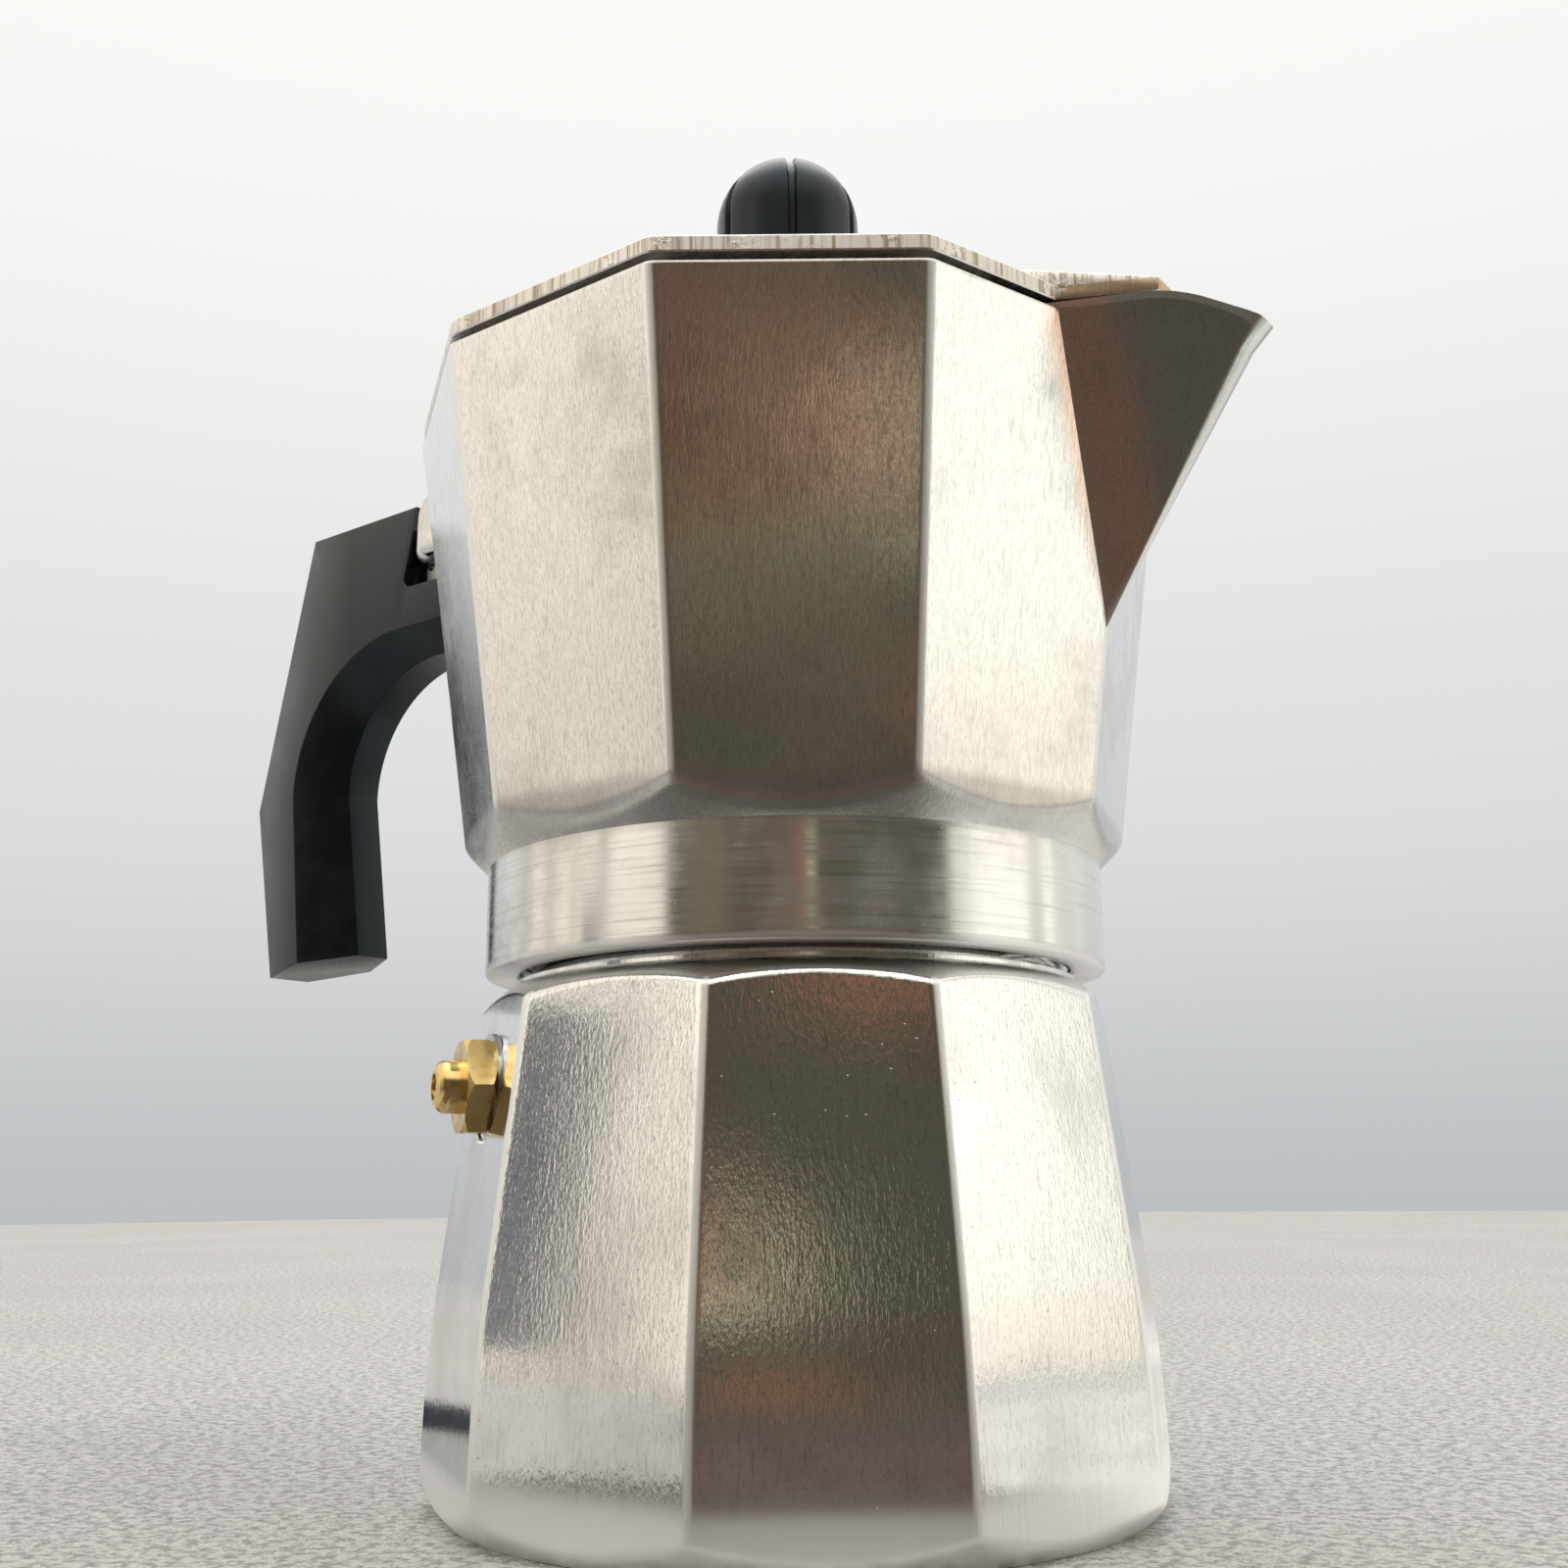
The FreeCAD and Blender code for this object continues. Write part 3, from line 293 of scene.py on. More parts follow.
# The distance to the corners bows in from the foot to BOW_TOP and tapers straight above it.
FOOT_CORNER = 42.9
FOOT_BOW = 0.00224
BOW_TOP = 25
BOW_CORNER = 41.5
BOILER_TAPER = 0.1273
# The foot's edge slopes at 45 degrees from this radius on the ground.
FOOT_EDGE = 39.4
SHOULDER_TOP = 58.0
SHOULDER_EDGE = 33.5
SHOULDER_SLOPE = 0.69
NECK_ROOT = 31.6
NECK_BORE = 28.5
BOILER_FLOOR = 3.0


def thread(angle, height, low, turns):
    """Height of a helical ridge above its wall, in the direction angle."""
    turn = (height - low) / PITCH
    along_path = angle % math.tau / math.tau
    nearest = round(turn - along_path) + along_path
    if nearest < -0.02 or nearest > turns + 0.02:
        return 0.0
    away = abs(turn - nearest) * PITCH
    return THREAD_DEEP * min(1.0, max(0.0, (THREAD_HALF - away) / THREAD_FLANK))


def boiler_corner(height):
    if height < BOW_TOP:
        return FOOT_CORNER - FOOT_BOW * height ** 2
    return BOW_CORNER - BOILER_TAPER * (height - BOW_TOP)


def boiler_outside(angle, height):
    reach = decagon(boiler_corner(height), angle, BOILER_TURN)
    reach = smooth_min(reach, FOOT_EDGE + height, 0.5)
    shoulder = SHOULDER_EDGE + max(0.0, SHOULDER_TOP - 0.4 - height) / SHOULDER_SLOPE
    reach = smooth_min(reach, shoulder, 0.5)
    if height < 2 or height > 52:
        return reach
    return reach + waver(angle, reach, height, BOILER_SEED)


def boiler_neck(angle, height):
    edge = max(0.0, height - (NECK_TOP - 0.35))
    return NECK_ROOT - edge + thread(angle, height, THREAD_START, 2.3)


def make_boiler(material):
    angles = directions(BOILER_TURN)
    rings = [ring(angles, radius, 0) for radius in (0.5, 20, 39.0)]
    heights = steps(0.05, 4, 0.2) + steps(5, 50, 1.6) + steps(50.3, 57.6, 0.28)
    rings += [ring(angles, boiler_outside, height) for height in heights + [57.8, SHOULDER_TOP]]
    rings += [ring(angles, radius, SHOULDER_TOP + 0.02) for radius in (33.3, NECK_ROOT + 0.1)]
    neck = steps(SHOULDER_TOP + 0.2, NECK_TOP, THREAD_FINE)
    rings += [ring(angles, boiler_neck, height) for height in neck]
    inside = [(NECK_BORE + 0.3, NECK_TOP), (NECK_BORE, NECK_TOP - 0.3), (NECK_BORE, 57.5),
              (32.4, 50), (34.6, 36), (36.2, 25), (37.0, 14), (37.3, 8), (37.0, 4.5), (36.3, 3.4),
              (35.0, BOILER_FLOOR), (12, BOILER_FLOOR), (0.5, BOILER_FLOOR)]
    rings += [ring(angles, radius, height) for radius, height in inside]
    piece = skin("boiler_casting", rings)
    hole = [(ON_AXIS, -9), (3.42, -9), (3.42, 0), (6.3, 0), (6.3, 5), (ON_AXIS, 5)]
    seat = VALVE_OUT * 36.5 + Vector((0, 0, VALVE_HEIGHT))
    carve(piece, lathe("valve_hole", hole, 64, along(VALVE_OUT, seat)))
    smooth(piece, 32)
    finish_piece(piece, "boiler", "boiler_cast", material, "boiler")


# ------------------------------------------------------------ collector

COLLAR_OUTER = 37.0
COLLAR_TOP = 71.4
COLLAR_BORE = 33.0
THREAD_END = 68.2
GASKET_SEAT = 32.0
PLATE_SEAT = 28.9
FLOOR_TOP = 76.0
FLOOR_BOTTOM = 73.3
COLUMN_HOLE = 6.03
RIM = 128.9
COLLECTOR_CORNER = 40.08
COLLECTOR_TAPER = 0.13948
INSIDE_CORNER = 37.57
INSIDE_TAPER = 0.1395
COLLECTOR_SEED = 9.0


def collector_corner(height):
    """Distance from the axis to the collector's corners."""
    return COLLECTOR_CORNER + (height - COLLAR_TOP) * COLLECTOR_TAPER


def collector_outside(angle, height):
    reach = decagon(collector_corner(height), angle)
    reach = smooth_min(reach, COLLAR_OUTER + (height - COLLAR_TOP), 0.9)
    if height < 78:
        return reach
    return reach + waver(angle, reach, height, COLLECTOR_SEED)


def collector_inside(angle, height):
    return decagon(INSIDE_CORNER + (height - FLOOR_TOP) * INSIDE_TAPER, angle, soft=2.5)


def collar_bore(angle, height):
    return COLLAR_BORE - thread(angle, height, THREAD_START + PITCH / 2, 2.0)


def make_collector_shell():
    angles = directions()
    low = COLLAR_BOTTOM
    collar = [low + 0.3] + steps(low + 1, COLLAR_TOP - 0.25, 2) + [COLLAR_TOP - 0.1, COLLAR_TOP]
    facets = steps(COLLAR_TOP + 0.2, 77, 0.22) + steps(78.5, RIM - 1, 1.6)
    rings = [ring(angles, COLLAR_OUTER - 0.3, low), ring(angles, COLLAR_OUTER - 0.09, low + 0.09)]
    rings += [ring(angles, COLLAR_OUTER, height) for height in collar]
    rings += [ring(angles, collector_outside, height)
              for height in facets + [RIM - 0.5, RIM - 0.25]]
    for inset, height in ((0.07, RIM - 0.07), (0.25, RIM)):
        rings.append(ring(angles, lambda angle, _: collector_outside(angle, RIM) - inset, height))
    rings.append(ring(angles, lambda angle, _: collector_inside(angle, RIM) + 0.3, RIM))
    rings += [ring(angles, collector_inside, height)
              for height in [RIM - 0.3] + steps(RIM - 2, 78, 4) + [77.2, 76.5]]
    below = [(35.2, FLOOR_TOP + 0.1), (33.5, FLOOR_TOP), (20, FLOOR_TOP), (COLUMN_HOLE, FLOOR_TOP),
             (COLUMN_HOLE, FLOOR_BOTTOM), (25, FLOOR_BOTTOM), (PLATE_SEAT, 72.2),
             (PLATE_SEAT, COLLAR_TOP), (GASKET_SEAT, COLLAR_TOP), (GASKET_SEAT, THREAD_END)]
    rings += [ring(angles, radius, height) for radius, height in below]
    rings += [ring(angles, collar_bore, height)
              for height in steps(THREAD_END - 0.05, low + 0.3, THREAD_FINE)]
    rings.append(ring(angles, COLLAR_BORE + 0.3, low))
    return skin("collector_casting", rings, loop=True)


# The spout's side planes end at a narrow flat keel; the rim runs level and then falls to the tip.
KEEL_LOW = Vector((42.8, 0, 94.2))
KEEL_HIGH = Vector((67.15, 0, 131.0))
KEEL_HALF = 2.0
SPOUT_RIM = 129.5
RIM_BEND = 53.0
RIM_FALL = 5.15
RIM_FALL_LENGTH = 11.55
# The rim's rounded end, as distances from the axis and half widths.
NOSE = [(62.95, 2.02), (63.2, 1.75), (63.36, 1.3), (63.42, 0.65)]
NOSE_TIP = 63.43
# The lip leans out by FLARE over the last part of the way up, beyond FLARE_REACH only.
FLARE = 0.82
FLARE_SHARE = 0.925
FLARE_REACH = 60.5
# How deep the spout's block stands in the collector's wall.
BURIED = 1.6
# How far the pouring channel lies behind the keel.
CHANNEL_BACK = Vector((4.9, 0, 0))
CHANNEL_HALF = Vector((0, 0.6, 0))
CHANNEL_ROOT = Vector((44.58, -11.64, 131.0))


def spout_rim_height(reach):
    """Height of the spout's rim at a distance from the axis."""
    if reach <= RIM_BEND:
        return SPOUT_RIM
    return SPOUT_RIM - RIM_FALL * ((reach - RIM_BEND) / RIM_FALL_LENGTH) ** 2.1


def side_plane(reach, height):
    """Half width of the spout at a distance from the axis and a height."""
    return KEEL_HALF + 0.42712 * (KEEL_HIGH.x - reach) + 0.3359 * (height - KEEL_HIGH.z)


def mirrored(point):
    return Vector((point.x, -point.y, point.z))


def make_spout_block():
    """The spout as a solid: lines from the foot of the keel to the rim, the last of them flared."""
    foot = KEEL_HIGH + (KEEL_LOW - KEEL_HIGH) * 1.02
    half = []
    for reach in steps(43.2, 62.2, 1.2):
        height = spout_rim_height(reach)
        half.append(Vector((reach, -side_plane(reach, height), height)))
    half += [Vector((reach, -wide, spout_rim_height(reach))) for reach, wide in NOSE]
    tip = Vector((NOSE_TIP, 0, spout_rim_height(NOSE_TIP)))
    rim = half + [tip] + [mirrored(point) for point in reversed(half)]
    rings = []
    shares = [0.0] + steps(0.06, 0.9, 0.07) + [FLARE_SHARE, 0.95, 0.965, 0.98, 1.0]
    for share in shares:
        points = [foot.lerp(point, share) for point in rim]
        flare = FLARE * max(0.0, (share - FLARE_SHARE) / (1 - FLARE_SHARE))
        for spot, point in enumerate(points):
            point.x += flare * min(1.0, max(0.0, (rim[spot].x - FLARE_REACH) / 2.5))
        height = points[0].z
        points.append(Vector((collector_corner(height) - BURIED, 0, height)))
        rings.append(points)
    count = len(rings[0])
    faces = wall(rings)
    faces.append(tuple(reversed(range(count))))
    top = (len(rings) - 1) * count
    last = count - 2
    faces.append((top, top + last, top + count - 1))
    for spot in range((count - 1) // 2):
        ahead, behind = spot + 1, last - spot - 1
        if behind > ahead:
            faces.append((top + spot, top + ahead, top + behind, top + last - spot))
        elif behind == ahead:
            faces.append((top + spot, top + ahead, top + last - spot))
    return solid("spout_block", flat(rings), faces)


def make_spout_channel():
    """The V-shaped pouring channel, to be cut out."""
    keel = KEEL_HIGH - CHANNEL_BACK
    foot = keel + (KEEL_LOW - CHANNEL_BACK - keel) * 1.3
    near = keel - CHANNEL_HALF
    root = near + (CHANNEL_ROOT - CHANNEL_BACK - near) * 1.34
    corners = [foot, near, root, mirrored(near), mirrored(root)]
    return solid("spout_channel", corners,
                 [(0, 2, 1), (0, 1, 3), (0, 3, 4), (1, 2, 4, 3), (0, 4, 2)])


EAR_INNER = 4.5
EAR_OUTER = 7.3
DECK_LOW = 125.5
DECK_TOP = 128.2
LUG_BACK = -66.9


def make_lug():
    """The cast lug: deck, web, hinge ears and the arm that the handle slides onto."""
    deck = round_edges(block("lug", (-60, -EAR_OUTER, DECK_LOW), (-45.3, EAR_OUTER, DECK_TOP)), 0.6)
    web = round_edges(block("web", (LUG_BACK, -2.2, 122.9), (-44.9, 2.2, DECK_TOP)), 0.5)
    back = round_edges(block("back", (LUG_BACK, -5.2, 126.5), (-62.9, 5.2, 134.6)), 1.9, segments=6)
    arm = round_edges(block("arm", (-80, -2.4, 129.4), (-63.5, 2.4, 134.2)), 0.4)
    for part in (web, back, arm):
        carve(deck, part, "UNION")
    outline = [(ON_AXIS, 0), (3.9, 0), (4.6, 0.35), (4.92, 0.85), (5.0, 1.4), (4.92, 1.95),
               (4.6, 2.45), (3.9, 2.8), (ON_AXIS, 2.8)]
    for side in (-1, 1):
        axis = along((0, side, 0), (HINGE.x, side * EAR_INNER, HINGE.z))
        carve(deck, lathe("ear", outline, 72, axis), "UNION")
        low, high = sorted((side * EAR_INNER, side * EAR_OUTER))
        leg = block("leg", (HINGE.x - 4.4, low, 126.3), (HINGE.x + 4.6, high, HINGE.z))
        carve(deck, round_edges(leg, 1.3, segments=6), "UNION")
    carve(deck, rod("pin_hole", 1.24, 0, 20, 32, along((0, -1, 0), (HINGE.x, 10, HINGE.z))))
    return deck


def make_collector(material):
    piece = make_collector_shell()
    carve(piece, make_spout_block(), "UNION")
    carve(piece, make_spout_channel())
    carve(piece, make_lug(), "UNION")
    smooth(piece, 30)
    finish_piece(piece, "collector", "collector_cast", material, "collector")


# ------------------------------------------------------------ lid and knob

LID_CORNER = 47.9
LID_BOTTOM = 130.0
LID_EDGE = 131.9
LID_FLAT = 10
KNOB_HOLE = 2.15
LIP_BOTTOM = 127.6
LIP_OUTER = 44.3
LIP_INNER = 42.7
TONGUE_ROOT = 41.0


def lid_ring(angles, corner, height):
    return ring(angles, lambda angle, _: decagon(corner, angle, soft=0.5), height)


def make_lid_shell():
    angles = directions()
    rings = [ring(angles, KNOB_HOLE, LID_TOP), ring(angles, 5, LID_TOP)]
    rings.append(lid_ring(angles, LID_FLAT - 0.3, LID_TOP))
    slope = (LID_TOP - LID_EDGE) / (LID_CORNER - LID_FLAT)
    outline = [(corner, LID_TOP - (corner - LID_FLAT) * slope)
               for corner in steps(LID_FLAT + 0.3, LID_CORNER - 0.4, 3.0)]
    outline += [(LID_CORNER - 0.08, LID_EDGE - 0.06), (LID_CORNER, LID_EDGE - 0.2),
                (LID_CORNER, 131.0), (LID_CORNER, LID_BOTTOM + 0.15),
                (LID_CORNER - 0.15, LID_BOTTOM), (LIP_OUTER, LID_BOTTOM),
                (LIP_OUTER, LIP_BOTTOM + 0.2), (LIP_OUTER - 0.2, LIP_BOTTOM),
                (LIP_INNER + 0.2, LIP_BOTTOM), (LIP_INNER, LIP_BOTTOM + 0.2),
                (LIP_INNER, 130.9), (26, 135.2), (9, 139.25)]
    rings += [lid_ring(angles, corner, height) for corner, height in outline]
    rings.append(ring(angles, KNOB_HOLE, 139.3))
    return skin("lid_casting", rings, loop=True)


def make_tongue():
    """The sloping tongue over the spout's root, with a straight cut end."""
    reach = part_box("lid")[1].x / MM
    points = []
    for x, half, top in ((TONGUE_ROOT, 12.7, 134.1), (reach, 5.95, 131.75)):
        points += [Vector((x, -half, LID_BOTTOM)), Vector((x, half, LID_BOTTOM)),
                   Vector((x, half, top)), Vector((x, -half, top))]
    faces = [(0, 1, 2, 3), (4, 7, 6, 5), (0, 4, 5, 1), (1, 5, 6, 2), (2, 6, 7, 3), (3, 7, 4, 0)]
    return round_edges(solid("tongue", points, faces), 0.3, segments=2)


def make_lid(material):
    piece = make_lid_shell()
    carve(piece, block("lip_gap", (37, -16, 120), (52, 16, LID_BOTTOM)))
    carve(piece, make_tongue(), "UNION")
    tab = round_edges(block("tab", (HINGE.x, -4.2, 130.2), (-44.4, 4.2, 133.2)), 0.4)
    knuckle = [(ON_AXIS, 0), (3.1, 0), (3.4, 0.3), (3.4, 8.1), (3.1, 8.4), (ON_AXIS, 8.4)]
    axis = along((0, -1, 0), (HINGE.x, 4.2, HINGE.z))
    carve(tab, lathe("knuckle", knuckle, 64, axis), "UNION")
    carve(piece, tab, "UNION")
    carve(piece, rod("pin_hole", 1.3, 0, 12, 32, along((0, -1, 0), (HINGE.x, 6, HINGE.z))))
    smooth(piece, 28)
    finish_piece(piece, "lid", "lid_cast", material, "lid")


KNOB_RADIUS = 9.5
KNOB_NECK = 5.6
# Heights over the lid's top: where the neck starts to flare, and how high the flare is.
FLARE_START = 3.5
FLARE_RISE = 8
GROOVES = 6
GROOVE_TURN = math.radians(-50)
GROOVE_HALF = 0.62
GROOVE_DEEP = 0.6
# Degrees after a groove at which the outline has its points.
GROOVE_STEPS = [0, 1.2, 2.2, 3.0, 3.6, 4.4, 6, 9, 13, 18, 24, 30]


def make_knob(material):
    """A dome on a flared neck, with six upright grooves."""
    sector = math.tau / GROOVES
    offsets = GROOVE_STEPS + [360 / GROOVES - step for step in reversed(GROOVE_STEPS[1:-1])]
    angles = [GROOVE_TURN + sector * k + math.radians(offset)
              for k in range(GROOVES) for offset in offsets]
    dome = KNOB_TOP - KNOB_RADIUS
    outline = [(5.3, LID_TOP + 0.06), (KNOB_NECK, LID_TOP + 0.4)]
    outline += [(KNOB_NECK, height) for height in steps(LID_TOP + 1.2, LID_TOP + FLARE_START, 1)]
    for share in steps(0, 1, 0.08)[1:]:
        ease = share * share * (3 - 2 * share)
        outline.append((KNOB_NECK + (KNOB_RADIUS - KNOB_NECK) * ease,
                        LID_TOP + FLARE_START + FLARE_RISE * share))
    outline += [(KNOB_RADIUS, height) for height in steps(LID_TOP + 12.3, dome, 1.1)]
    for lift in steps(4, 89, 4.5):
        rise = math.radians(lift)
        outline.append((KNOB_RADIUS * math.cos(rise), dome + KNOB_RADIUS * math.sin(rise)))
    rings = []
    for radius, height in outline:
        lift = math.asin(min(1.0, max(0.0, (height - dome) / KNOB_RADIUS)))
        depth = GROOVE_DEEP * min(1.0, max(0.0, (height - (LID_TOP + 9.5)) / 1.5))
        points = []
        for angle in angles:
            across = abs((angle - GROOVE_TURN + sector / 2) % sector - sector / 2) * radius
            sink = depth * min(1.0, max(0.0, (GROOVE_HALF - across) / 0.2))
            reach = max(0.05, radius - sink * math.cos(lift))
            points.append(Vector((reach * math.cos(angle), reach * math.sin(angle),
                                  height - sink * math.sin(lift))))
        rings.append(points)
    piece = skin("knob_moulding", rings)
    carve(piece, rod("knob_bore", 3.25, LID_TOP - 2, LID_TOP + 13.5, 48))
    smooth(piece, 40)
    finish_piece(piece, "lid", "black_plastic", material, "knob")


# ------------------------------------------------------------ handle

# The handle's outlines seen from the side, as X and height: an arch's inner line and the ridge
# along its sides are round about the elbow's height, and the outer line is angular.
HANDLE_TOP = 136.4
ELBOW_HEIGHT = 93.0
SHOULDER_X = -92.0
ELBOW_X = -102.1
PRONG_X = -49.5
OUTER_CENTRE_X = -65.0
RIDGE_CENTRE_X = -66.8
RIDGE_ARCH = 22.6
FINGER_CENTRE_X = -62.6
FINGER_ARCH = 18.8
FOOT_OUTER = Vector((-96.8, 66.2))
FOOT_INNER = Vector((-77.4, 68.2))
# Half widths at the outer line, the ridge and the inner line.
HALF_WIDTHS = (3.6, 7.0, 2.8)
NOTCH_END = -67.9
NOTCH_FLOOR = 122.4
ARCH_STEP = 0.05


def arch(centre_x, radius, angle):
    return centre_x + radius * math.cos(angle), ELBOW_HEIGHT + radius * math.sin(angle)


def handle_outer(angle):
    """Where a ray from the arch's centre meets the handle's outer outline."""
    centre = Vector((OUTER_CENTRE_X, ELBOW_HEIGHT))
    away = Vector((math.cos(angle), math.sin(angle)))
    corner = Vector((SHOULDER_X, HANDLE_TOP))
    if angle <= math.atan2(corner.y - centre.y, corner.x - centre.x) + 1e-9:
        return centre + away * ((HANDLE_TOP - centre.y) / away.y)
    edge = Vector((ELBOW_X, ELBOW_HEIGHT)) - corner
    gap = corner - centre
    reach = (gap.x * edge.y - gap.y * edge.x) / (away.x * edge.y - away.y * edge.x)
    return centre + away * reach


def handle_section(outer, ridge, inner):
    """A six-sided section through the handle."""
    lines = (outer, ridge, inner)
    half = [(line, -width) for line, width in zip(lines, HALF_WIDTHS)]
    other = [(line, -y) for line, y in reversed(half)]
    return [Vector((line[0], y, line[1])) for line, y in half + other]


def make_handle(material):
    sections = [handle_section((PRONG_X, HANDLE_TOP), (PRONG_X, ELBOW_HEIGHT + RIDGE_ARCH),
                               (PRONG_X, ELBOW_HEIGHT + FINGER_ARCH))]
    shoulder = math.atan2(HANDLE_TOP - ELBOW_HEIGHT, SHOULDER_X - OUTER_CENTRE_X)
    for angle in (steps(math.pi / 2, shoulder, ARCH_STEP)
                  + steps(shoulder, math.pi, ARCH_STEP)[1:]):
        sections.append(handle_section(handle_outer(angle), arch(RIDGE_CENTRE_X, RIDGE_ARCH, angle),
                                       arch(FINGER_CENTRE_X, FINGER_ARCH, angle)))
    sections.append(handle_section(FOOT_OUTER, FOOT_OUTER.lerp(FOOT_INNER, 0.55), FOOT_INNER))
    piece = skin("handle_moulding", sections)
    notch = block("notch", (NOTCH_END, -30, NOTCH_FLOOR), (-30, 30, 150))
    carve(piece, round_edges(notch, 1.8, segments=5))
    round_edges(piece, 0.55, 16)
    carve(piece, block("arm_pocket", (-80.4, -2.5, 129.3), (-60, 2.5, 134.3)))
    screw = [(ON_AXIS, 8), (3.1, 8), (3.1, 22), (1.65, 22), (1.65, 40), (ON_AXIS, 40)]
    carve(piece, lathe("screw_hole", screw, 48, along((1, 0, 0), (-110, 0, 131.8))))
    smooth(piece, 30)
    finish_piece(piece, "collector", "black_plastic", material, "handle")


# ------------------------------------------------------------ materials

class Graph:
    """A small helper for building shader nodes."""

    def __init__(self, tree):
        self.tree = tree

    def node(self, kind, inputs=None, **settings):
        made = self.tree.nodes.new(kind)
        for key, value in settings.items():
            setattr(made, key, value)
        for key, value in (inputs or {}).items():
            self.put(made.inputs[key], value)
        return made

    def put(self, socket, value):
        """Link a socket to another one, or set its value."""
        if isinstance(value, bpy.types.NodeSocket):
            self.tree.links.new(value, socket)
        else:
            socket.default_value = value

    def math(self, operation, a, b=0.0):
        return self.node("ShaderNodeMath", {0: a, 1: b}, operation=operation).outputs[0]

    def times(self, a, b):
        return self.math("MULTIPLY", a, b)

    def ramp(self, value, low, high, start=0.0, end=1.0):
        """Take value from the span low..high to start..end, smoothly and clamped."""
        made = self.node("ShaderNodeMapRange", {"Value": value, "From Min": low, "From Max": high,
                                                "To Min": start, "To Max": end},
                         interpolation_type="SMOOTHSTEP")
        return made.outputs["Result"]

    def between(self, kind, share, first, second):
        made = self.node("ShaderNodeMix", data_type=kind)
        for key, value in (("Factor", share), ("A", first), ("B", second)):
            self.put(made.inputs[key], value)
        return made.outputs["Result"]

    def mix(self, share, first, second):
        """A colour between two."""
        return self.between("RGBA", share, first, second)

    def blend(self, share, first, second):
        """A number between two."""
        return self.between("FLOAT", share, first, second)


class Surface(Graph):
    """The nodes of one material, laid out by the object's own coordinates."""

    def __init__(self, name):
        self.material = bpy.data.materials.new(name)
        self.material.use_nodes = True
        super().__init__(self.material.node_tree)
        self.shader = self.tree.nodes["Principled BSDF"]
        self.place = self.node("ShaderNodeTexCoord").outputs["Object"]

    def stretch(self, scale, place=None):
        inputs = {"Vector": place or self.place, "Scale": scale}
        return self.node("ShaderNodeMapping", inputs).outputs[0]

    def noise(self, scale, detail=3.0, rough=0.55, stretch=(1, 1, 1)):
        inputs = {"Vector": self.stretch(stretch), "Scale": scale, "Detail": detail,
                  "Roughness": rough}
        return self.node("ShaderNodeTexNoise", inputs).outputs["Fac"]

    def cells(self, scale, place):
        inputs = {"Vector": place, "Scale": scale}
        return self.node("ShaderNodeTexVoronoi", inputs).outputs["Distance"]

    def pits(self, scale, low, high):
        """0 in small round pits and 1 round them."""
        return self.ramp(self.cells(scale, self.stretch((1, 1, 1))), low, high)

    def axis(self, name):
        return self.node("ShaderNodeSeparateXYZ", {0: self.place}).outputs[name]

    def bump(self, height, strength, distance, below=None):
        inputs = {"Height": height, "Strength": strength, "Distance": distance}
        if below is not None:
            inputs["Normal"] = below
        return self.node("ShaderNodeBump", inputs).outputs["Normal"]

    def edge(self):
        """Bright where the surface is convex, for edges with wear."""
        pointed = self.node("ShaderNodeNewGeometry").outputs["Pointiness"]
        return self.ramp(pointed, 0.512, 0.532)

    def corner_wear_and_highlight(self, first):
        """Bright along the upright corners, which stand every SIDE from an azimuth: real wear
        there, with a painted highlight.
        """
        turn = self.math("ARCTAN2", self.axis("Y"), self.axis("X"))
        away = self.math("PINGPONG", self.math("SUBTRACT", turn, first), SIDE / 2)
        return self.ramp(away, 0.0165, 0.004)

    def scratches(self, scale, turn, length):
        """Short straight marks, leaning by a turn about X and Y, in a few places."""
        inputs = {"Vector": self.place, "Rotation": (turn[0], turn[1], 0)}
        leaning = self.node("ShaderNodeMapping", inputs).outputs[0]
        marks = self.ramp(self.cells(scale, self.stretch((1, 1, length), leaning)), 0.0, 0.03,
                          1.0, 0.0)
        return self.times(marks, self.ramp(self.noise(50), 0.5, 0.62))

    def done(self, colour, roughness, normal, **fixed):
        self.put(self.shader.inputs["Base Color"], colour)
        self.put(self.shader.inputs["Roughness"], roughness)
        self.put(self.shader.inputs["Normal"], normal)
        for key, value in fixed.items():
            self.shader.inputs[key.replace("_", " ")].default_value = value
        return self.material


def grey(level, warm=0.0):
    return (level * (1 + warm), level, level * (1 - warm), 1)


WHITE = (1, 1, 1, 1)
# Light colour for wear: on the upright corners also a painted highlight.
WEAR_AND_HIGHLIGHT = grey(0.97)
# The spout's painted reflection, as a tint: reddish near the collector and bluish beyond.
SPOUT_REFLECTION_NEAR = (1.15, 0.78, 0.62, 1)
SPOUT_REFLECTION_FAR = (0.68, 0.75, 0.73, 1)
# Height of the crease over the collar, darkened there with painted shade.
CREASE = 73.6


